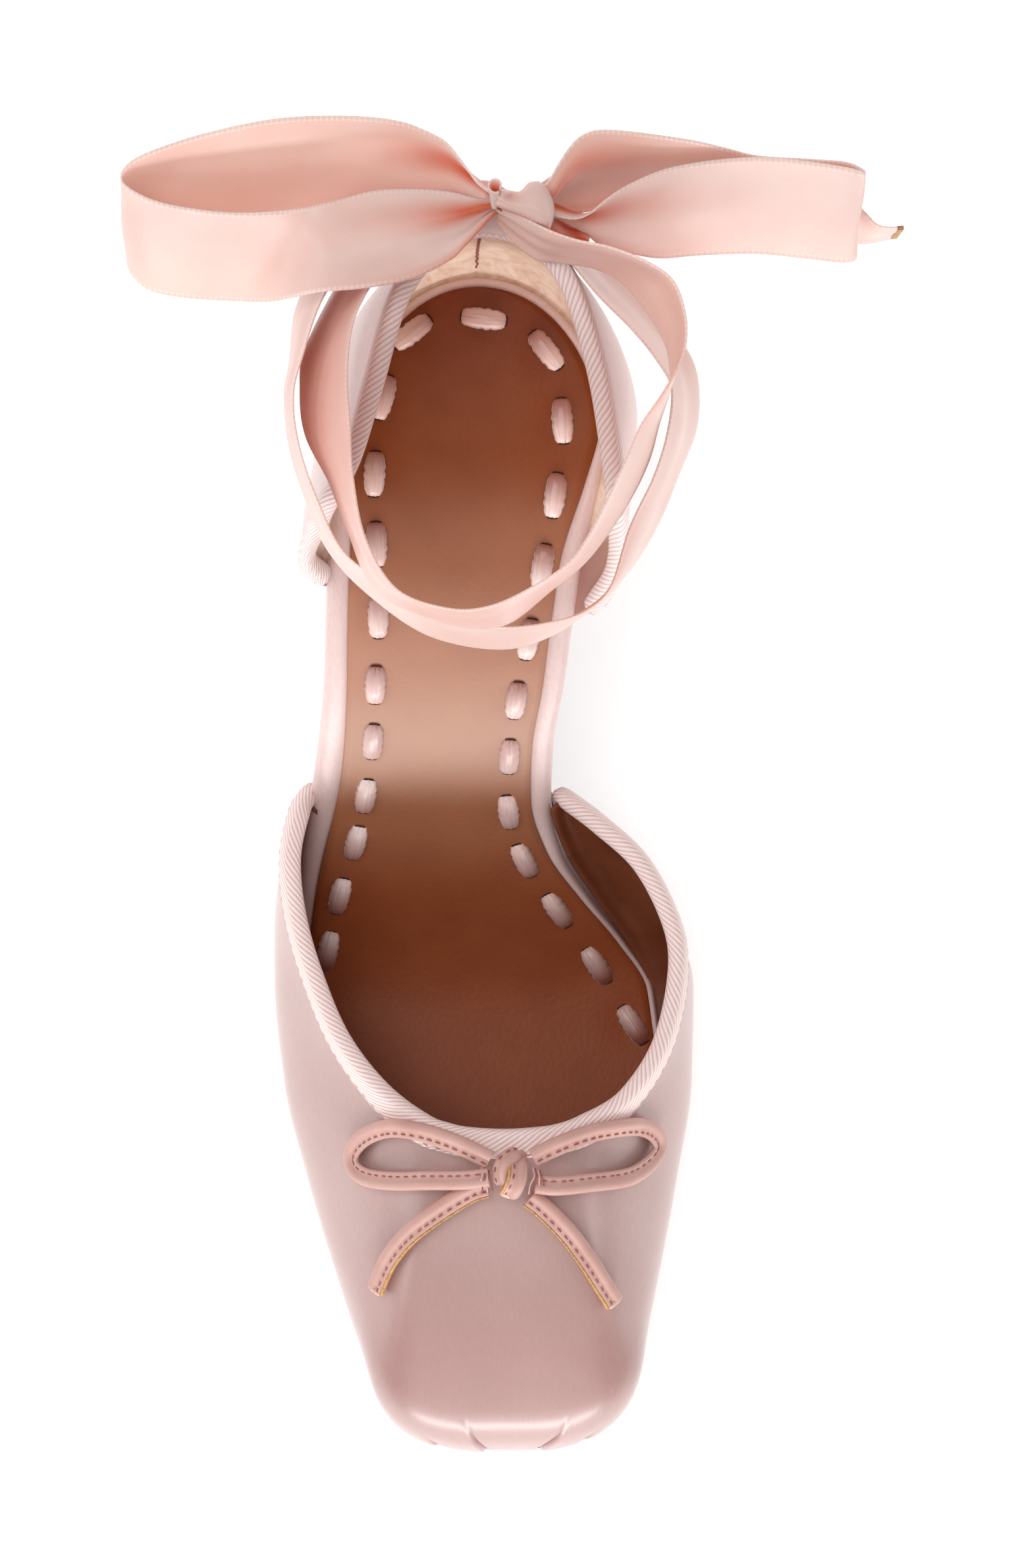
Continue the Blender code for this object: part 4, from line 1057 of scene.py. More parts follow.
@dataclass(frozen=True)
class Crease:
    """A fold laid by hand: a line on plan from where it starts to where it is deepest.

    ridge is the height of the cloth that folds over it, on the left of the way it runs, or on its
    right where ridge is below 0.
    """

    line: tuple[tuple[float, float], ...]
    depth: float
    width: float
    ridge: float = 0.0
    ridge_reach: float = 3.5
    end_reach: float = 1.5

    def height(self, x: Array, y: Array) -> Array:
        """How far the cloth is raised at (x, y), or sunk where it is below 0."""
        nearest = np.full(x.shape, 1e3)
        fade = np.zeros(x.shape)
        sided = np.zeros(x.shape)
        pieces = len(self.line) - 1
        for k, (a, b) in enumerate(zip(self.line, self.line[1:], strict=False)):
            dx, dy = b[0] - a[0], b[1] - a[1]
            t = within(((x - a[0]) * dx + (y - a[1]) * dy) / (dx * dx + dy * dy))
            apart = np.hypot(x - a[0] - t * dx, y - a[1] - t * dy)
            side = (dx * (y - a[1]) - dy * (x - a[0])) / math.hypot(dx, dy)
            closer = apart < nearest
            nearest = np.where(closer, apart, nearest)
            fade = np.where(closer, (k + t) / pieces, fade)
            sided = np.where(closer, side, sided)
        strength = within(fade / 0.7) ** 1.5
        trough = -self.depth * hump(nearest, self.width)
        over = np.clip(sided * math.copysign(1.0, self.ridge), 0, None)
        swell = abs(self.ridge) * (1 - hump(over, 0.5 * self.width, 1)) * hump(over, self.ridge_reach, 1)
        return (trough + swell * hump(nearest - np.abs(sided), self.end_reach)) * strength

    def line_at(self, x: Array, y: Array) -> Array:
        """1 in the bottom of the fold, fading to 0 beside it: where shade is painted."""
        narrow = replace(self, ridge=0.0, width=self.width * 0.7)
        return within(-narrow.height(x, y) / self.depth) ** 2


# ---------------------------------------------------------------- sole and heel
@dataclass
class Sole:
    """Footbed, satin rand over the insole board, and outsole.

    profile is the rand's section: its share from the footbed's edge to the board's, and its depth.
    """

    sock_thick: float = 1.2
    sock_edge: tuple[float, float] = (0.55, 0.7)
    dent: tuple[float, float] = (0.45, 4.2)
    outsole_thick: float = 2.3
    breast: float = 82.0
    profile: tuple[tuple[float, float], ...] = (
        (0.0, 3.9), (0.0, 1.5), (0.1, 1.05), (0.3, 0.55), (0.52, 0.35), (0.74, 0.5), (0.9, 1.0),
        (0.98, 1.8), (1.0, 3.0), (0.97, 4.0), (0.8, 4.3), (0.3, 4.3),
    )

    @staticmethod
    def plate(name: str, stations: Array, grow: Along, depth: Place, across: int) -> bpy.types.Object:
        """A face that follows the footbed.

        Args:
            name: The piece's name.
            stations: y of its rows.
            grow: Gives how far its edge stands out from the board's, for y.
            depth: Gives its depth for y and the distance from its own edge.
            across: Faces across.

        Returns:
            The face, looking up.
        """

        def place(u: Array, v: Array) -> Array:
            """The point of the plate at u across and v along."""
            y = stations[np.rint(v * (len(stations) - 1)).astype(int)]
            lateral, medial = LAST.edge(y, -1, grow(y)), LAST.edge(y, 1, grow(y))
            eased = 0.5 - 0.5 * np.cos(math.pi * u)
            share = 0.6 * eased + 0.4 * u
            from_edge = np.minimum(share, 1 - share) * (medial - lateral)
            return LAST.on_bed(lateral * (1 - share) + medial * share, y, depth(y, from_edge))

        return bent_sheet(name, place, (across, len(stations) - 1))

    def footbed(self, dents: Array) -> None:
        """The leather, sunk a little where the lacing pulls it down.

        Args:
            dents: (x, y) of each stitch of the lacing.
        """
        drop, reach = self.sock_edge

        def depth(y: Array, from_edge: Array) -> Array:
            """Rounded down at the edge."""
            return drop * hump(from_edge, reach)

        made = self.plate("footbed_leather", LAST.stations(-1.9), LAST.sock_grow, depth, 64)
        points = np.empty(len(made.data.vertices) * 3)
        made.data.vertices.foreach_get("co", points)
        points = points.reshape(-1, 3)
        deep, wide = self.dent
        for x, y in dents:
            apart = np.hypot(points[:, 0] / MM - x, points[:, 1] / MM - y)
            points[:, 2] -= deep * MM * hump(apart, wide)
        made.data.vertices.foreach_set("co", points.ravel())
        thicken(made, self.sock_thick)
        dress(made, FOOTBED_LEATHER, "footbed")

    def rand(self) -> None:
        """The satin that covers the board's edge: a padded ring round the footbed."""
        rings = np.array([self.ring(share, depth) for share, depth in self.profile])
        shares = np.array([share for share, _ in self.profile])

        def corner(v: Array) -> Array:
            """Which point of the profile v is at."""
            return np.rint(v * len(shares)).astype(int) % len(shares)

        def place(u: Array, v: Array) -> Array:
            """The point at u round the ring and v round its profile."""
            return rings[corner(v), np.rint(u * (rings.shape[1] - 1)).astype(int)]

        def painted_shade(u: Array, v: Array) -> Array:
            """Painted shade, browned like light bounced off the footbed: deeper in colour down in the
            forepart, most on the sides that the upper hangs over.
            """
            x, y, _ = place(u, v).T
            outer = within((shares[corner(v)] - 0.4) / 0.45)
            return within((50 - y) / 35) * np.where(x < 0, 0.55 + 0.3 * outer, 0.1 + 0.85 * outer)

        cells = (rings.shape[1] - 1, len(shares))
        made = bent_sheet("satin_rand", place, cells, marks={"fold": painted_shade}, closed=True)
        rounding = made.modifiers.new("rounding", "SUBSURF")
        rounding.levels = rounding.render_levels = 1
        dress(made, RAND_SATIN, "insole_board")

    def ring(self, share: float, depth: float) -> Array:
        """One line of the rand, closed.

        Args:
            share: 0 under the edge of the footbed and 1 at the board's own edge.
            depth: How far below the footbed it runs.

        Returns:
            Its points.
        """

        def grow(y: Array | float) -> Array:
            """How far out the line stands at y."""
            return (LAST.sock_grow(y) - 0.5) * (1 - share)

        def line(y: Array, side: int) -> Array:
            """x of one side, which stands wide of the board at the lateral waist and in at the medial."""
            wider, middle = (1.2, 25) if side < 0 else (-0.7, 0)
            return LAST.edge(y, side, grow(y)) + side * share * wider * hump(y - middle, 30, 4)

        toe = LAST.toe_stations(float(grow(TOE_CAP_FROM)), LAST.cap_steps)
        heel = LAST.heel_stations(float(grow(SEAT_CAP_FROM)), LAST.cap_steps)
        out = np.concatenate([toe, np.linspace(TOE_CAP_FROM, SEAT_CAP_FROM, 150), heel])
        back = out[::-1]
        xs = np.concatenate([line(out, 1), line(back, -1)[1:]])
        return LAST.on_bed(xs, np.concatenate([out, back[1:]]), depth)

    def outsole(self) -> None:
        """The rubber sole, from the toe to the heel's front face."""
        stations = LAST.stations(2.1, self.breast)

        def depth(y: Array, from_edge: Array) -> Array:
            """Flat on top."""
            return OUTSOLE_TOP + 0 * from_edge

        made = self.plate("rubber_outsole", stations, LAST.sole_lip, depth, 40)
        thicken(made, self.outsole_thick)
        round_edges(made, 0.5)
        dress(made, RUBBER, "outsole")


@dataclass
class Lacing:
    """Satin ribbon threaded through slits round the footbed: its stitches lie about 14 mm apart."""

    wide: float = 3.5
    long: float = 8.8
    high: float = 1.35
    slit: Triple = (2.3, 0.9, 0.35)
    at_the_heel: int = 12
    places: tuple[tuple[float, float], ...] = (
        (29.2, -3), (22, 8.6), (14, 19.1), (7.4, 28.2), (4.3, 36.8), (4.5, 46.4), (5.8, 56.1),
        (8.2, 66.8), (10.8, 80), (13.2, 93.1), (14.6, 107), (11.5, 120.2), (-0.4, 126.1),
        (-14, 123.6), (-19.5, 111.4), (-21.2, 97.1), (-20.9, 84), (-20.6, 70.8), (-21.3, 58.8),
        (-22, 49), (-23.6, 39.6), (-25.8, 31.4), (-29.2, 21.8), (-31.8, 11.5),
    )

    def build(self) -> None:
        """Make the stitches and, at their ends, dark lozenges that paint the shadow down in each slit."""
        at = np.array(self.places)
        ways = np.gradient(at, axis=0)
        ways[self.at_the_heel] = (-1.0, 0.12)
        points = LAST.on_bed(at[:, 0], at[:, 1], 0)
        ahead = LAST.on_bed(at[:, 0] + ways[:, 0] * 0.01, at[:, 1] + ways[:, 1] * 0.01, 0)
        along = unit(ahead - points)
        side_step = LAST.on_bed(at[:, 0] + 0.01, at[:, 1], 0) - points
        up = unit(np.cross(side_step, LAST.on_bed(at[:, 0], at[:, 1] + 0.01, 0) - points))
        self.stitches(points, along, up)
        # a dark lozenge at each end of a stitch: painted shadow down in the slit
        ends = [points + along * self.long * reach - up * 0.05 for reach in (0.47, -0.47)]
        side = np.cross(up, along)
        both = (np.concatenate(each) for each in (ends, [side, side], [up, up]))
        dress(beads("lacing_slit_shadows", *both, self.slit), DARK_GAP)

    def stitches(self, points: Array, along: Array, up: Array) -> None:
        """The puffed ribbon of every stitch, in one mesh, with painted shade on one half of each stitch,
        under the vamp and at its tucked ends.
        """
        many = bmesh.new()
        layer = many.loops.layers.uv.new("UVMap")
        shade = many.verts.layers.float.new("fold")
        for number, (point, way, face_up) in enumerate(zip(points, along, up, strict=True)):
            side = np.cross(face_up, way)
            made = bmesh.ops.create_grid(many, x_segments=14, y_segments=18, size=0.5)
            local = {}
            for vertex in made["verts"]:
                s, t = 2 * vertex.co.x, 2 * vertex.co.y
                pinch = 0.3 + 0.7 * (1 - abs(t) ** 2.4) ** 0.5
                gather = 0.05 * math.sin(15 * s + number) + 0.10 * math.sin(8 * s + 2 * number) * t**2
                dome = (1 - s**2) ** 0.5 * (1 - abs(t) ** 3) ** 0.7
                tucked = abs(t) ** 8
                lift = self.high * dome + gather * (1 - s**2) - 0.3 - 0.4 * tucked
                frayed = 1 + 0.05 * math.sin(19 * t + 3 * number) + 0.04 * math.sin(43 * t + number)
                a, b = s * self.wide / 2 * pinch * frayed, t * self.long / 2
                vertex.co = (point + side * a + way * b + face_up * lift) * MM
                local[vertex] = (s * self.wide / 2, b)
                # painted shade: one half of each stitch, flipping at y 45 mm, the stitches under the vamp,
                # and the ends that dive into the slits
                one_end_shade = t * way[1] * math.tanh((point[1] - 45) / 8)
                shade_under_vamp = 0.3 * min(max((35 - point[1]) / 25, 0), 1)
                vertex[shade] = 0.3 + shade_under_vamp + 0.5 * math.tanh(1.8 * one_end_shade) + 0.5 * tucked
            for face in {face for vertex in local for face in vertex.link_faces}:
                for loop in face.loops:
                    loop[layer].uv = local[loop.vert]
        made = to_object("lacing_ribbon", many)
        thicken(made, 0.3)
        dress(made, LACING_SATIN)


@dataclass
class Heel:
    """The satin-covered block heel and its top lift."""

    breast: float = 84.0
    grow: float = 2.0
    tip_top: float = 5.6
    tip_middle: float = -1.5
    tip_half: float = 14.5
    seat_half: float = 27.0
    tip_front: float = 103.0
    tip_back: float = 131.0
    sweep: float = 2.4
    levels: int = 40
    wall_steps: int = 16
    front_steps: int = 14

    def ring(self) -> Array:
        """(x, y) round the heel at the seat, from the medial end of its front face."""
        walls = np.linspace(self.breast, SEAT_CAP_FROM, self.wall_steps)
        cap = LAST.heel_stations(self.grow, LAST.cap_steps)
        medial = np.concatenate([walls, cap])
        lateral = np.concatenate([walls, cap[:-1]])[::-1]
        xs = np.concatenate([LAST.edge(medial, 1, self.grow), LAST.edge(lateral, -1, self.grow)])
        ring = np.stack([xs, np.concatenate([medial, lateral])], axis=-1)
        front = np.linspace(ring[-1], ring[0], self.front_steps)[1:-1]
        return np.concatenate([ring, front])

    def build(self) -> None:
        """Make the block and the lift."""
        ring = self.ring()
        back = (ring[:, 1] - self.breast) / (HEEL_END + self.grow - self.breast)
        across = (ring[:, 0] - self.tip_middle) / self.seat_half
        foot_x = self.tip_middle + across * self.tip_half
        foot_y = self.tip_front + back * (self.tip_back - self.tip_front)
        foot = np.stack([foot_x, foot_y, 0 * back], axis=-1)
        top = LAST.on_bed(ring[:, 0], ring[:, 1], OUTSOLE_TOP)
        loops = []
        for level in np.linspace(0, 1, self.levels):
            narrowing = 1 - (1 - level) ** self.sweep
            loop = top * (1 - narrowing) + foot * narrowing
            loop[:, 2] = top[:, 2] + (self.tip_top + 0.3 - top[:, 2]) * level
            loops.append(loop)
        block = loft("covered_heel_block", loops)
        round_edges(block, 0.8)
        dress(block, HEEL_SATIN, "heel_block")
        lift = loft("heel_top_lift", [foot + [0, 0, z] for z in (self.tip_top, 3.0, 0.0)])
        round_edges(lift, 0.5)
        dress(lift, RUBBER, "heel_tip")


# ---------------------------------------------------------------- the upper
@dataclass
class Edging:
    """A tape folded over the top edge of a wall, with a line of stitches at its lower edge."""

    wall: Wall
    name: str
    outer: float
    inner: float
    puff: float = 0.45
    steps: int = 420
    stitch_pitch: float = 2.3
    finish: Finish = BINDING
    thread: Finish = ROSE_THREAD
    ends: float = 9.0
    tape_thick: float = 0.35
    stitch: Triple = (1.4, 0.36, 0.3)
    rounds: int = 7

    def build(self, ripple: Along | None = None) -> None:
        """Make the tape and its stitches.

        Args:
            ripple: How far the tape is puckered outward at a length along it, if at all.
        """
        half = self.wall.thick / 2 + self.puff
        outside = np.linspace(self.outer, 0.0, self.rounds + 1)
        inside = np.linspace(0.0, self.inner, self.rounds + 1)
        turns = [math.pi * k / self.rounds for k in range(1, self.rounds)]
        profile = np.array(
            [(d, self.puff + 0.25 * math.sin(math.pi * d / self.outer), 0.0) for d in outside]
            + [(0.0, self.puff - half * (1 - math.cos(t)), 0.62 * half * math.sin(t)) for t in turns]
            + [(d, -self.wall.thick - self.puff, 0.0) for d in inside]
        )

        def place(u: Array, v: Array) -> Array:
            """The point at u along the tape and v across it, from its outer lower edge."""
            drop, off, up = profile[np.rint(v * (len(profile) - 1)).astype(int)].T
            long = self.wall.long(u)
            taper = within(np.minimum(long, long.max() - long) / self.ends) ** 0.7
            level = self.wall.down(u, drop * (0.3 + 0.7 * taper))
            if ripple is not None:
                off = off + ripple(long) * (off > 0)
            top = np.ones_like(u)
            rise = unit(self.wall.skin(u, top) - self.wall.skin(u, top * 0.97))
            return self.wall.at(u, level, off) + rise * up[:, None]

        def flat(u: Array, v: Array) -> Array:
            """Millimetres across and along."""
            wide = self.outer + self.inner + 2 * half
            return np.stack([v * wide, self.wall.long(u)], axis=-1)

        made = bent_sheet(self.name, place, (self.steps, len(profile) - 1), flat)
        if self.wall.turn < 0:
            made.data.flip_normals()
        thicken(made, self.tape_thick, offset=1.0)
        dress(made, self.finish)
        self.stitches()

    def stitches(self) -> None:
        """The line of thread at the tape's lower edge."""
        fine = np.linspace(0.02, 0.98, 900)
        long = self.wall.long(fine)
        count = round(long[-1] / self.stitch_pitch)
        u = np.interp(np.linspace(long[0], long[-1], count), long, fine)
        level = self.wall.down(u, np.full_like(u, self.outer - 0.55))
        off = self.puff + self.tape_thick + 0.03
        ahead = self.wall.at(np.minimum(u + 0.002, 1), level, off)
        way = ahead - self.wall.at(np.maximum(u - 0.002, 0), level, off)
        at, up = self.wall.at(u, level, off), self.wall.normal(u, level)
        dress(beads(f"{self.name}_stitches", at, way, up, self.stitch), self.thread)


@dataclass
class Vamp:
    """The front of the upper: satin drawn over the toe, leather inside and tape round the throat."""

    thick: float = 1.8
    satin: float = 0.9
    brow: float = 1.3
    creases: tuple[Crease, ...] = (
        Crease(((-5.4, -79.6), (-3.4, -82.6), (-2.3, -84.6), (0.0, -87.4)), 0.6, 0.28, -0.55),
        Crease(((16.2, -79.4), (15.0, -82.2), (13.7, -84.2), (10.2, -87.2)), 0.6, 0.28, 0.55),
        Crease(((-13.0, -82.6), (-11.0, -85.0), (-9.2, -86.8)), 0.25, 0.6, -0.4),
        Crease(((22.4, -81.4), (20.6, -84.0), (18.8, -85.8)), 0.25, 0.6, 0.35),
    )

    def __post_init__(self) -> None:
        """Set the wall up on the board."""
        ring = LAST.outline(2.1, 37.5, 37.5, toe=True)
        self.wall = Wall(VAMP_RIBS, ring, 1, self.thick)

    def build(self) -> bpy.types.Object:
        """Make the satin, the lining and the tape.

        Returns:
            The satin, which the bow lies on.
        """

        def closer(u: Array, v: Array) -> tuple[Array, Array]:
            """The places drawn together at the toe, where the folds need fine cells."""
            return u + 0.7 * swing(u) / (2 * math.pi), v**1.7

        def outside(u: Array, v: Array) -> Array:
            """The satin, with its folds."""
            u, v = closer(u, v)
            base = self.wall.skin(u, v)
            toe = within((-60 - base[:, 1]) / 12)
            brow = self.brow * toe * toe * (3 - 2 * toe) * hump(v - 0.31, 0.14)
            relief = brow + sum(crease.height(base[:, 0], base[:, 1]) for crease in self.creases)
            return base + self.wall.normal(u, v) * relief[:, None]

        def fold(u: Array, v: Array) -> Array:
            """Painted shade: 1 along the bottom of each fold, and up to 0.26 over the toe above its break."""
            u, v = closer(u, v)
            base = self.wall.skin(u, v)
            lines = np.max([crease.line_at(base[:, 0], base[:, 1]) for crease in self.creases], axis=0)
            return np.maximum(lines, 0.26 * within((-44 - base[:, 1]) / 24) * within((v - 0.3) / 0.1))

        def inside(u: Array, v: Array) -> Array:
            """The lining under the satin, drawn in at the board."""
            return self.wall.at(u, v, -self.satin - GLUED_GAP - 3.6 * hump(v, 0.045, 1))

        satin = bent_sheet("vamp_satin", outside, (560, 76), marks={"fold": fold})
        thicken(satin, self.satin)
        dress(satin, VAMP_SATIN, "vamp")
        lining = bent_sheet("vamp_lining", inside, (200, 60))
        thicken(lining, self.thick - self.satin - GLUED_GAP)
        dress(lining, VAMP_LINING)
        Edging(self.wall, "throat_binding", 4.3, 3.2).build()
        return satin


@dataclass
class Counter:
    """The heel cup: pale satin outside, sueded lining with a seam down the back inside."""

    thick: float = 2.0
    satin: float = 0.9
    seam_at: float = 0.497
    seam_stitch: Triple = (1.2, 0.5, 0.4)

    def __post_init__(self) -> None:
        """Set the wall up on the board."""
        ring = LAST.outline(2.3, 76.0, 70.0, toe=False)
        self.wall = Wall(COUNTER_RIBS, ring, -1, self.thick)

    def build(self) -> None:
        """Make the satin, the lining, its seam and the tape."""

        def inside(u: Array, v: Array) -> Array:
            """The lining under the satin, sunk a little along its seam and drawn in at the board."""
            seam = 0.35 * hump(u - self.seam_at, 0.005)
            return self.wall.at(u, v, -self.satin - GLUED_GAP + seam - 2.0 * hump(v, 0.06, 1))

        satin = bent_sheet("counter_satin", self.wall.skin, (280, 60))
        satin.data.flip_normals()
        thicken(satin, self.satin)
        dress(satin, COUNTER_SATIN, "counter")
        lining = bent_sheet("counter_suede_lining", inside, (240, 50), marks={"fold": self.front})
        lining.data.flip_normals()
        thicken(lining, self.thick - self.satin - GLUED_GAP)
        dress(lining, SUEDE)
        tape = Edging(self.wall, "collar_binding", 3.2, 2.6, finish=PALE_BINDING, thread=PALE_THREAD)
        tape.build(self.pucker)
        self.seam()

    @staticmethod
    def front(u: Array, v: Array) -> Array:
        """1 at the two front edges, where satin covers the lining, and 0 behind them."""
        return within(np.maximum(0.10 - u, u - 0.85) / 0.03) + 0 * v

    @staticmethod
    def pucker(long: Array) -> Array:
        """How far the tape is gathered up where it turns down at its lateral front corner."""
        return 0.45 * hump(long, 22.0, 4) * (0.5 + 0.5 * swing(long / 3.1))

    def seam(self) -> None:
        """Stitches down the lining's back seam."""
        level = np.linspace(0.03, 0.9, 30)
        u = self.seam_at + 0.0012 * (np.arange(len(level)) % 2)
        at = self.wall.at(u, level, -self.thick - 0.12)
        way, up = np.gradient(at, axis=0), self.wall.normal(u, level)
        dress(beads("lining_seam_stitches", at, way, up, self.seam_stitch), THREAD)


# ---------------------------------------------------------------- the bow on the vamp
class Turn(NamedTuple):
    """A point of a turn over the knot: x and y off its middle, and how high it stands over it."""

    x: float
    y: float
    rise: float


@dataclass
class VampBow:
    """The small bow of piped leather cord: a bead on one side and a stitched flange on the other."""

    vamp: bpy.types.Object
    knot: Lie = Lie(4.8, -33.8, 3.4)
    knot_size: Triple = (5.6, 7.6, 3.8)
    bead: float = 1.15
    stitch_pitch: float = 1.9
    stitch_size: Triple = (1.15, 0.36, 0.32)
    cut_end: Triple = (4.0, 1.0, 2.1)
    steps: int = 14
    left_turn: tuple[Turn, ...] = (
        Turn(1.6, 3.6, -1.6),
        Turn(0.2, 3.7, 0.6),
        Turn(-1.4, 2.7, 1.6),
        Turn(-2.1, 0.9, 1.5),
        Turn(-1.9, -0.9, 0.6),
        Turn(-1.4, -1.9, -0.8),
    )
    right_turn: tuple[Turn, ...] = (
        Turn(1.2, 2.6, -0.4),
        Turn(1.3, 1.8, 1.6),
        Turn(1.2, 0.2, 2.6),
        Turn(0.7, -1.6, 2.3),
        Turn(0.0, -3.3, 0.8),
        Turn(-0.3, -4.0, -1.2),
    )

    def __post_init__(self) -> None:
        """Take the vamp's face to lie on."""
        bpy.context.view_layer.update()
        self.face = BVHTree.FromObject(self.vamp, bpy.context.evaluated_depsgraph_get())

    def stand(self, x: float, y: float, off: float) -> tuple[Array, Array]:
        """A point off the vamp, and the vamp's normal there, in millimetres."""
        hit, normal, _, _ = self.face.ray_cast(Vector((x, y, 100)) * MM, Vector((0, 0, -1)))
        return np.array(hit) / MM + np.array(normal) * off, np.array(normal)

    def line(self, rows: Sequence[Lie]) -> tuple[Array, Array]:
        """The middle line of a cord and the vamp's normals along it."""
        count = self.steps * (len(rows) - 1)
        lies = rows_at(rows, np.linspace(0, 1, count + 1))
        stands = [self.stand(*lie) for lie in lies]
        line = np.array([point for point, _ in stands])
        normals = np.array([normal for _, normal in stands])
        for _ in range(6):
            line[1:-1] = (line[:-2] + 2 * line[1:-1] + line[2:]) / 4
            normals[1:-1] = unit(normals[:-2] + 2 * normals[1:-1] + normals[2:])
        return line, normals

    @staticmethod
    def section(bead: float, flange: float) -> list[tuple[float, float]]:
        """The cord's section, in millimetres: across, with the bead on the positive side, and up.

        Args:
            bead: Radius of the piped bead.
            flange: How far the flat edge reaches past the middle line.
        """
        around = [math.radians(turn) for turn in range(-145, 146, 17)]
        groove = 0.75 - bead - 0.05
        return [
            *((0.75 + bead * math.cos(t), bead * math.sin(t)) for t in around),
            *((groove, 0.42), (0.5 - flange, 0.5), (0.1 - flange, 0.42)),
            *((-flange, 0.0), (0.1 - flange, -0.42), (groove, -0.5)),
        ]

    def cord(
        self,
        name: str,
        line: Array,
        normals: Array,
        bead_side: int,
        flange: float = 1.85,
        raw: bool = False,
    ) -> bpy.types.Object:
        """One length of the cord.

        Args:
            name: The piece's name.
            line: The middle line that it follows.
            normals: The way up along it.
            bead_side: 1 if the bead is on the left of the way it runs, -1 if on its right.
            flange: How far its flat edge reaches.
            raw: Whether the undyed cut edge of the leather shows.

        Returns:
            The piece.
        """
        along = unit(np.gradient(line, axis=0))
        side = unit(np.cross(normals, along)) * bead_side
        up = unit(np.cross(along, side)) * bead_side

        def swept(piece: str, shape: Sequence[tuple[float, float]]) -> bpy.types.Object:
            """A section drawn along the line."""
            frames = zip(line, side, up, strict=True)
            loops = [np.array([at + out * a + rise * b for a, b in shape]) for at, out, rise in frames]
            return loft(piece, loops)

        piped = dress(swept(name, self.section(self.bead, flange)), CORD_LEATHER)
        self.stitch(f"{name}_stitches", line, along, side, up)
        if raw:
            skin = flange + 0.32
            edge = ((-flange, 0.45), (-skin, 0.45), (-skin, -0.35), (-flange, -0.4))
            dress(swept(f"{name}_raw_edge", edge), RAW_EDGE)
            dress(beads(f"{name}_cut_end", line[-1:], side[-1:], up[-1:], self.cut_end), CUT_END)
        return piped

    def stitch(self, name: str, line: Array, along: Array, side: Array, up: Array) -> None:
        """Running stitches in the groove between bead and flange."""
        long = lengths(line)
        at = np.searchsorted(long, np.arange(0.8, long[-1] - 0.5, self.stitch_pitch))
        points = line[at] - side[at] * 0.95 + up[at] * 0.5
        dress(beads(name, points, along[at], up[at], self.stitch_size), THREAD)

    def turns(self) -> None:
        """The two turns over the middle of the bow, and the lump under them."""
        middle, normal = self.stand(*self.knot)
        normal = unit(normal)
        lump = bmesh.new()
        bmesh.ops.create_uvsphere(lump, u_segments=24, v_segments=14, radius=0.5)
        for vertex in lump.verts:
            vertex.co = (middle + np.array(vertex.co) * self.knot_size - normal * 0.9) * MM
        dress(to_object("vamp_bow_knot_core", lump), CORD_LEATHER, "vamp_bow_knot")
        for name, points, raw in (
            ("vamp_bow_left_turn", self.left_turn, False),
            ("vamp_bow_right_turn", self.right_turn, True),
        ):
            smooth = rows_at(points, np.linspace(0, 1, 40))
            flat = np.stack([smooth[:, 0], smooth[:, 1], 0 * smooth[:, 0]], axis=-1)
            line = middle + flat + normal * smooth[:, 2:3]
            leaning = unit(normal + 0.22 * flat)
            self.cord(name, line, leaning, 1, flange=1.6, raw=raw)

    def tacks(self) -> None:
        """Loose threads that tack the loops together on both sides of the knot."""
        middle, _ = self.stand(*self.knot)
        for side, reach in ((-1, 4.9), (1, 4.6)):
            for k in range(4):
                x = reach * side + 0.45 * (k - 1.5)
                lean = 0.35 * (k - 1.5)
                points = (
                    Lie(middle[0] + x, middle[1] + 2.3 - 0.2 * k, 4.0),
                    Lie(middle[0] + x + 0.2, middle[1] + 0.9, 5.6),
                    Lie(middle[0] + x + lean, middle[1] - 0.6, 5.5),
                    Lie(middle[0] + x + 1.5 * lean, middle[1] - 2.4 + 0.2 * k, 5.6),
                )
                line = np.array([self.stand(*lie)[0] for lie in rows_at(points, np.linspace(0, 1, 12))])
                thread = tube(f"tack_thread_{k + 1}_{'left' if side < 0 else 'right'}", line, 0.13, 6)
                dress(thread, THREAD if k % 2 else PALE_THREAD)

    def build(self) -> None:
        """Make the loops, the tails and the knot."""
        for name, rows, side, node, raw in (
            ("bow_cord_lateral_loop", LATERAL_BOW_LOOP, -1, "vamp_bow_loop_lateral", False),
            ("bow_cord_medial_loop", MEDIAL_BOW_LOOP, 1, "vamp_bow_loop_medial", False),
            ("bow_cord_lateral_tail", LATERAL_BOW_TAIL, -1, "vamp_bow_tail_lateral", True),
            ("bow_cord_medial_tail", MEDIAL_BOW_TAIL, 1, "vamp_bow_tail_medial", True),
        ):
            line, normals = self.line(rows)
            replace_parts(self.cord(name, line, normals, side, raw=raw), node)
        self.turns()
        self.tacks()


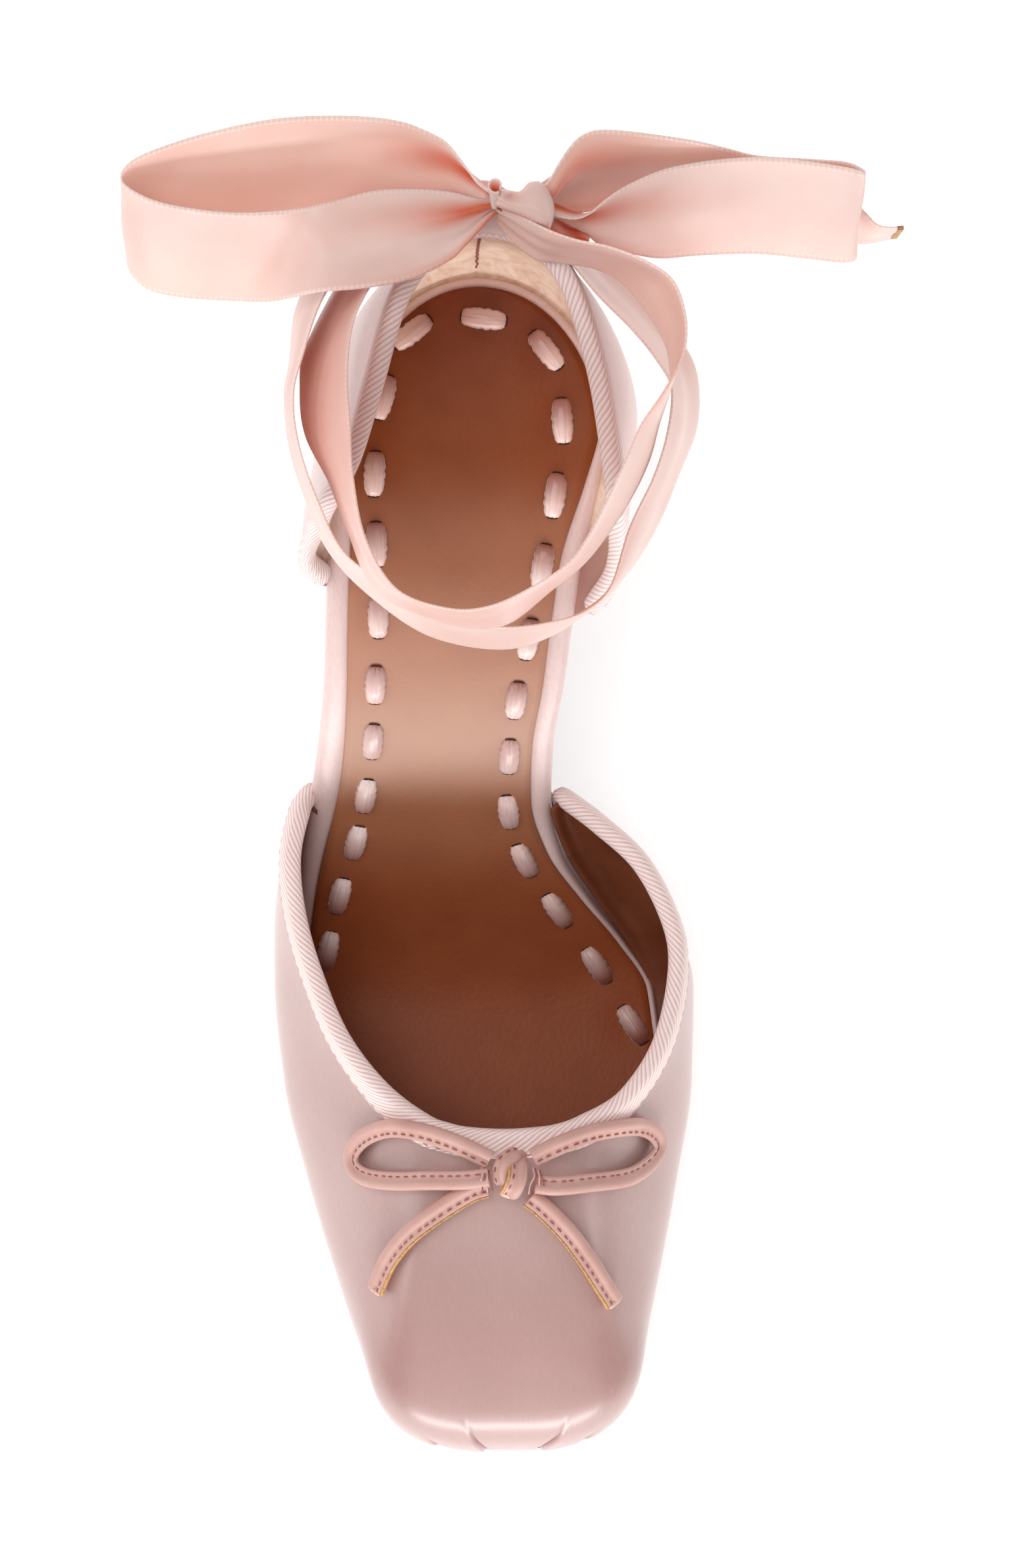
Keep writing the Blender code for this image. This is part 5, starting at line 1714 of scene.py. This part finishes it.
# ---------------------------------------------------------------- the ankle ribbon
@dataclass
class RibbonStrip:
    """A length of ribbon between its two edges, with creases laid along and across it."""

    name: str
    rows: Sequence[Row]
    wide: float = 22.0
    thick: float = 0.32
    cells_across: int = 24
    cells_per_row: int = 10

    def middle(self, count: int = 400) -> Array:
        """Its middle line, in millimetres."""
        table = rows_at(self.rows, np.linspace(0, 1, count))
        return (table[:, :3] + table[:, 3:]) / 2

    def build(
        self,
        crease: Place,
        fold: Place,
        *nodes: str,
    ) -> bpy.types.Object:
        """Make the strip.

        Args:
            crease: How far the cloth stands off at u, from 0 at the upper edge to 1, and v along.
            fold: How deep in a gather the cloth is there, from 0 to 1.
            *nodes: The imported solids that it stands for.

        Returns:
            The piece.
        """
        sums = lengths(self.middle())

        def bare(u: Array, v: Array) -> Array:
            """The smooth strip."""
            table = rows_at(self.rows, v)
            return table[:, :3] * (1 - u[:, None]) + table[:, 3:] * u[:, None]

        def place(u: Array, v: Array) -> Array:
            """The creased strip."""
            across = bare(np.ones_like(u), v) - bare(np.zeros_like(u), v)
            along = bare(u, np.minimum(v + 0.003, 1)) - bare(u, np.maximum(v - 0.003, 0))
            return bare(u, v) + unit(np.cross(across, along)) * crease(u, v)[:, None]

        def flat(u: Array, v: Array) -> Array:
            """Millimetres across from the upper edge, and along."""
            return np.stack([u * self.wide, np.interp(v, np.linspace(0, 1, len(sums)), sums)], axis=-1)

        cells = (self.cells_across, self.cells_per_row * (len(self.rows) - 1))
        made = bent_sheet(self.name, place, cells, flat, {"fold": fold})
        thicken(made, self.thick, offset=0.0)
        return dress(made, RIBBON, *nodes)


class Tie(Enum):
    """The side of a part of the tied ribbon."""

    LATERAL = "lateral"
    MEDIAL = "medial"


class Glow(NamedTuple):
    """A stretch of ribbon that light comes through: its place along and across, its reach and how strong."""

    v: float
    long: float
    u: float
    wide: float
    strength: float


@dataclass
class AnkleRibbon:
    """The ribbon's two turns round the ankle, the bow behind it and the tab that holds it."""

    wide: float = 22.0
    knot: Triple = (6.8, 136.2, 127.4)
    knot_size: Triple = (8.6, 3.4, 5.0)
    gather: float = 1.5
    reach: float = 14.0
    upper_glows: tuple[Glow, ...] = (Glow(0.24, 0.16, 0.5, 0.8, 0.35), Glow(0.64, 0.06, 0.14, 0.2, 0.5))
    lower_glows: tuple[Glow, ...] = (
        Glow(0.22, 0.14, 0.5, 0.8, 0.25),
        Glow(0.31, 0.07, 0.45, 0.09, 0.7),
        Glow(0.61, 0.06, 0.12, 0.16, 0.6),
        Glow(0.86, 0.04, 0.95, 0.15, 0.8),
    )

    def build(self) -> None:
        """Make the bow first, then the turns."""
        self.bow(Tie.LATERAL, LATERAL_LOOP, LATERAL_TAIL)
        self.bow(Tie.MEDIAL, MEDIAL_LOOP, MEDIAL_TAIL)
        self.core()
        self.slant()
        self.roll()
        self.pleat()
        self.turns()
        self.keeper()

    def turns(self) -> None:
        """The two turns, which the knot and the tab hold."""
        for name, rows, node, glows in (
            ("ribbon_upper_turn", UPPER_TURN, "ankle_ribbon_upper", self.upper_glows),
            ("ribbon_lower_turn", LOWER_TURN, "ankle_ribbon_lower", self.lower_glows),
        ):
            strip = RibbonStrip(name, rows)
            long = lengths(strip.middle())[-1] * MM

            def crease(u: Array, v: Array) -> Array:
                """Long shallow creases, strongest at the two ends."""
                ends = within(hump(v, 0.10, 1) + hump(1 - v, 0.10, 1))
                return 0.5 * swing(2.2 * u + 0.4) * ends + 0.22 * swing(1.3 * u + 2.5 * v)

            def warm(u: Array, v: Array, glows: Sequence[Glow] = glows) -> Array:
                """Where light comes through the cloth."""
                spots = [
                    glow.strength * hump(u - glow.u, glow.wide) * hump(v - glow.v, glow.long)
                    for glow in glows
                ]
                return np.max(spots, axis=0)

            piece = strip.build(crease, warm, node)

    def bow(self, side: Tie, loop: Sequence[Row], tail: Sequence[Row]) -> None:
        """One loop and the tail that it runs on into, through the knot."""
        x, y, z = self.knot
        inside = 4.6 if side is Tie.LATERAL else 9.6
        start = Row(inside, 135.8, 130.5, inside, 135.6, 126.5)
        through = Row(x, y, z + 1.5, x, y, z - 4.5)
        rows = (start, *loop, through, *tail)
        strip = RibbonStrip(f"ribbon_{side.value}_loop_and_tail", rows)
        centre = np.array(self.knot)

        def from_knot(v: Array) -> Array:
            """Distance from the knot."""
            table = rows_at(rows, v)
            return np.linalg.norm((table[:, :3] + table[:, 3:]) / 2 - centre, axis=1)

        def wave(u: Array, v: Array) -> Array:
            """1 on a ridge of the gathers and -1 in a valley."""
            small = hump(from_knot(v), 9.0, 1) * swing(4.2 * u + 0.2) * (v < 0.5)
            return swing(1.3 * u + 0.31) + 0.35 * small

        def crease(u: Array, v: Array) -> Array:
            """Gathers that fan out of the knot and fade."""
            near = hump(from_knot(v), self.reach, 1)
            return self.gather * near * wave(u, v) + 0.2 * swing(1.1 * u + 3.0 * v)

        def fold(u: Array, v: Array) -> Array:
            """Painted shade and glow between the gathers."""
            near = hump(from_knot(v), 1.15 * self.reach, 1.5)
            if side is Tie.MEDIAL:
                near = near * np.where(v > 0.35, 0.45, 1.0)
            return within(1.7 * near * (0.3 - 0.8 * wave(u, v)))

        piece = strip.build(crease, fold, f"ribbon_loop_{side.value}", f"ribbon_tail_{side.value}")
        last, before = (np.array(rows[k]).reshape(2, 3) for k in (-1, -2))
        onward = unit((last - before).mean(axis=0))

        def burnt(u: Array, v: Array) -> Array:
            """Along the cut, and a little past it."""
            return last[0] * (1 - u[:, None]) + last[1] * u[:, None] + onward * (1.1 * v[:, None] - 0.7)

        singed = bent_sheet(f"ribbon_{side.value}_tail_end", burnt, (24, 3))
        thicken(singed, 0.75, offset=0.0)
        dress(singed, SINGED)
        line = strip.middle(300) * MM
        long = float(lengths(line)[-1])

    def core(self) -> None:
        """The tight lump inside the knot."""
        lump = bmesh.new()
        bmesh.ops.create_icosphere(lump, subdivisions=4, radius=0.5)
        for vertex in lump.verts:
            squared = [math.copysign(abs(2 * c) ** 0.8 / 2, c) for c in vertex.co]
            vertex.co = (np.array(self.knot) + np.array(squared) * self.knot_size) * MM
        core = to_object("ribbon_knot_core", lump)
        # the whole lump is painted in shade and glow
        kept = core.data.attributes.new("fold", "FLOAT", "POINT")
        kept.data.foreach_set("value", np.full(len(core.data.vertices), 0.8, np.float32))
        dress(core, RIBBON, "ribbon_knot")

    def slant(self) -> None:
        """The turn that slants over the knot."""
        places = [0.0, 0.22, 0.45, 0.66, 0.84, 1.0]
        top_x = Line(places, [1.8, 3.6, 6.1, 8.2, 9.6, 11.2])
        top_y = Line(places, [138.2, 137.9, 137.5, 139.2, 139.4, 138.3])
        low_x = Line(places, [1.6, 3.6, 6.0, 8.4, 10.2, 11.8])
        low_y = Line(places, [134.9, 134.0, 133.1, 132.0, 131.1, 130.3])

        def turn(u: Array, v: Array) -> Array:
            """The slanting turn: u from left to right and v from its lower edge to its upper one."""
            x = low_x(u) * (1 - v) + top_x(u) * v + 1.2 * u**5 * np.sin(math.pi * v)
            y = low_y(u) * (1 - v) + top_y(u) * v
            dome = (1 - np.abs(2 * u - 1) ** 5) ** 0.5 * (1 - np.abs(2 * v - 1) ** 3) ** 0.5
            valley = hump(x - 2.6 - 3.2 * v, 1.2) * v
            pleats = 0.16 * swing(2.6 * v + 0.4 * u) * (1 - u)
            z = 132.2 + 3.7 * dome - 1.3 * valley + pleats
            return np.stack([x, y + 0.19 * (134.0 - z), z], axis=-1)

        def across(u: Array, v: Array) -> Array:
            """Millimetres from its lower edge, and along."""
            return np.stack([v * self.wide / 2, u * 14.0], axis=-1)

        def deep(u: Array, v: Array) -> Array:
            """Painted shade and glow, deepest where it is gathered at its upper left and under its lower
            edge.
            """
            gathered = hump(u - 0.2 - 0.25 * v, 0.14) * v
            return within(0.45 * gathered + 0.9 * hump(v, 0.03, 1) + 0.3 * hump(1 - v, 0.08, 1))

        band = bent_sheet("ribbon_knot_turn", turn, (60, 44), across, {"fold": deep})
        thicken(band, 0.4, offset=-1.0)
        dress(band, RIBBON)

    @staticmethod
    def roll() -> None:
        """The edge that rolls up beside the slanting turn."""

        def curl(u: Array, v: Array) -> Array:
            """The selvage, rolled up at the left of the turn."""
            angle = math.radians(-60) - math.radians(330) * u
            reach = (1.4 - 0.8 * v) * (1 - 0.3 * u)
            z = 136.2 - 4.0 * v
            y = 138.5 - 3.7 * v + reach * np.sin(angle) + 0.19 * (134 - z)
            return np.stack([2.0 - 0.1 * v + reach * np.cos(angle), y, z], axis=-1)

        def inside(u: Array, v: Array) -> Array:
            """Glowing down in the roll."""
            return within(2.5 * v) * within(3 * u - 0.6)

        rolled = bent_sheet("ribbon_knot_roll", curl, (36, 14), None, {"fold": inside})
        thicken(rolled, 0.3, offset=0.0)
        dress(rolled, RIBBON)

    @staticmethod
    def pleat() -> None:
        """The pleat behind the knot."""

        def behind(u: Array, v: Array) -> Array:
            """The pleat in the shade between the knot, the loop and the turn."""
            x = 10.5 + 8.5 * u
            z = 121.5 + 2.0 * np.sin(math.pi * v) + 0.8 * np.sin(9 * u)
            y = (137.8 - 6.0 * u) * v + (131.5 - 1.5 * u) * (1 - v)
            return np.stack([x, y, z], axis=-1)

        def all_deep(u: Array, v: Array) -> Array:
            """Everywhere in the shade."""
            return 0.75 + 0.2 * np.sin(7 * u + 5 * v)

        made = bent_sheet("ribbon_knot_pleat", behind, (30, 20), None, {"fold": all_deep})
        thicken(made, 0.3, offset=0.0)
        dress(made, RIBBON)

    def keeper(self) -> None:
        """The satin tab sewn to the back of the counter, which the ribbon runs through."""
        path = (
            (133.3, 117.6), (133.2, 119.4), (134.0, 120.6), (136.5, 121.0), (140.0, 120.2),
            (142.0, 117.0), (143.2, 108.0), (143.0, 98.0), (141.6, 92.5),
        )
        table = [Lie(0.0, y, z) for y, z in path]

        def place(u: Array, v: Array) -> Array:
            """The tab bends with the back of the heel."""
            _, y, z = rows_at(table, v).T
            x = -6.5 + 10.0 * u
            return np.stack([x, y - 0.045 * x**2, z], axis=-1)

        made = bent_sheet("keeper_tab", place, (16, 80))
        thicken(made, 0.8, offset=0.0)
        round_edges(made, 0.25, 2)
        dress(made, COUNTER_SATIN, "ribbon_keeper")


# ---------------------------------------------------------------- studio
FLOOR_HALF = 3.0
FLOOR_GLOW = 0.45


@dataclass(frozen=True)
class Softbox:
    """A soft lamp: where it stands, what it looks at, its two sides and its power in watts."""

    name: str
    place: Triple
    aim: Triple
    size: tuple[float, float]
    power: float
    colour: str = "#FFFFFF"

    def build(self) -> None:
        """Put the lamp in the scene."""
        data = bpy.data.lights.new(self.name, "AREA")
        data.shape = "RECTANGLE"
        data.size, data.size_y = self.size
        data.energy = self.power
        data.color = linear(self.colour)[:3]
        lamp = bpy.data.objects.new(self.name, data)
        lamp.location = self.place
        way = Vector(self.aim) - Vector(self.place)
        lamp.rotation_euler = way.to_track_quat("-Z", "Y").to_euler()
        bpy.context.scene.collection.objects.link(lamp)


@dataclass
class Studio:
    """Camera, floor, sky and lamps."""

    camera_place: Triple = (4.8, -87.66, 1091.8)
    camera_tilt: float = 7.0
    lens: float = 124.79
    sky: float = 0.36
    lamps: tuple[Softbox, ...] = (
        Softbox("overhead", (-0.3, 0.12, 1.0), (0.0, 0.0, 0.05), (0.5, 0.8), 3.8),
        Softbox("front_key", (-0.05, -0.95, 0.6), (0.0, 0.0, 0.05), (1.4, 0.5), 2.3),
        Softbox("toe_strip", (0.02, -0.9, 0.14), (0.0, -0.08, 0.02), (1.0, 0.13), 5.5),
        Softbox("left_low", (-0.9, 0.05, 0.4), (0.0, 0.0, 0.05), (0.9, 0.3), 2.0),
        Softbox("right_low", (0.9, 0.05, 0.4), (0.0, 0.0, 0.05), (0.9, 0.3), 1.65),
        Softbox("back_low", (0.0, 0.95, 0.5), (0.0, 0.1, 0.08), (0.8, 0.3), 1.4),
    )

    def build(self) -> None:
        """Set the studio up."""
        scene = bpy.context.scene
        scene.view_settings.view_transform = "Standard"
        data = bpy.data.cameras.new("camera")
        data.lens, data.sensor_width, data.sensor_fit = self.lens, 36.0, "AUTO"
        data.clip_start, data.clip_end = 0.05, 20.0
        camera = bpy.data.objects.new("camera", data)
        camera.location = Vector(self.camera_place) * MM
        camera.rotation_euler = (math.radians(self.camera_tilt), 0.0, 0.0)
        scene.collection.objects.link(camera)
        scene.camera = camera
        world = bpy.data.worlds.new("studio")
        world.use_nodes = True
        world.node_tree.nodes["Background"].inputs["Color"].default_value = linear("#FFFFFF")
        world.node_tree.nodes["Background"].inputs["Strength"].default_value = self.sky
        scene.world = world
        self.floor()
        for lamp in self.lamps:
            lamp.build()

    @staticmethod
    def floor() -> None:
        """A wide sheet of white paper that glows a little, so that it stays even."""
        sheet = bmesh.new()
        bmesh.ops.create_grid(sheet, x_segments=1, y_segments=1, size=FLOOR_HALF)
        floor = to_object("studio_floor", sheet)
        paper = Graph("white_paper", 0.9)
        glow = {"Emission Color": "#FFFFFF", "Emission Strength": FLOOR_GLOW}
        paper.plug(paper.shader, {"Base Color": "#F4F4F4", **glow})
        floor.data.materials.append(paper.material)


def main() -> None:
    """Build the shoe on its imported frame."""
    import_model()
    Studio().build()
    AnkleRibbon().build()
    lacing = Lacing()
    sole = Sole()
    sole.footbed(np.array(lacing.places))
    sole.rand()
    sole.outsole()
    lacing.build()
    Heel().build()
    satin = Vamp().build()
    Counter().build()
    VampBow(satin).build()


if __name__ == "__main__":
    logging.basicConfig(level=logging.INFO, format="%(message)s")
    main()
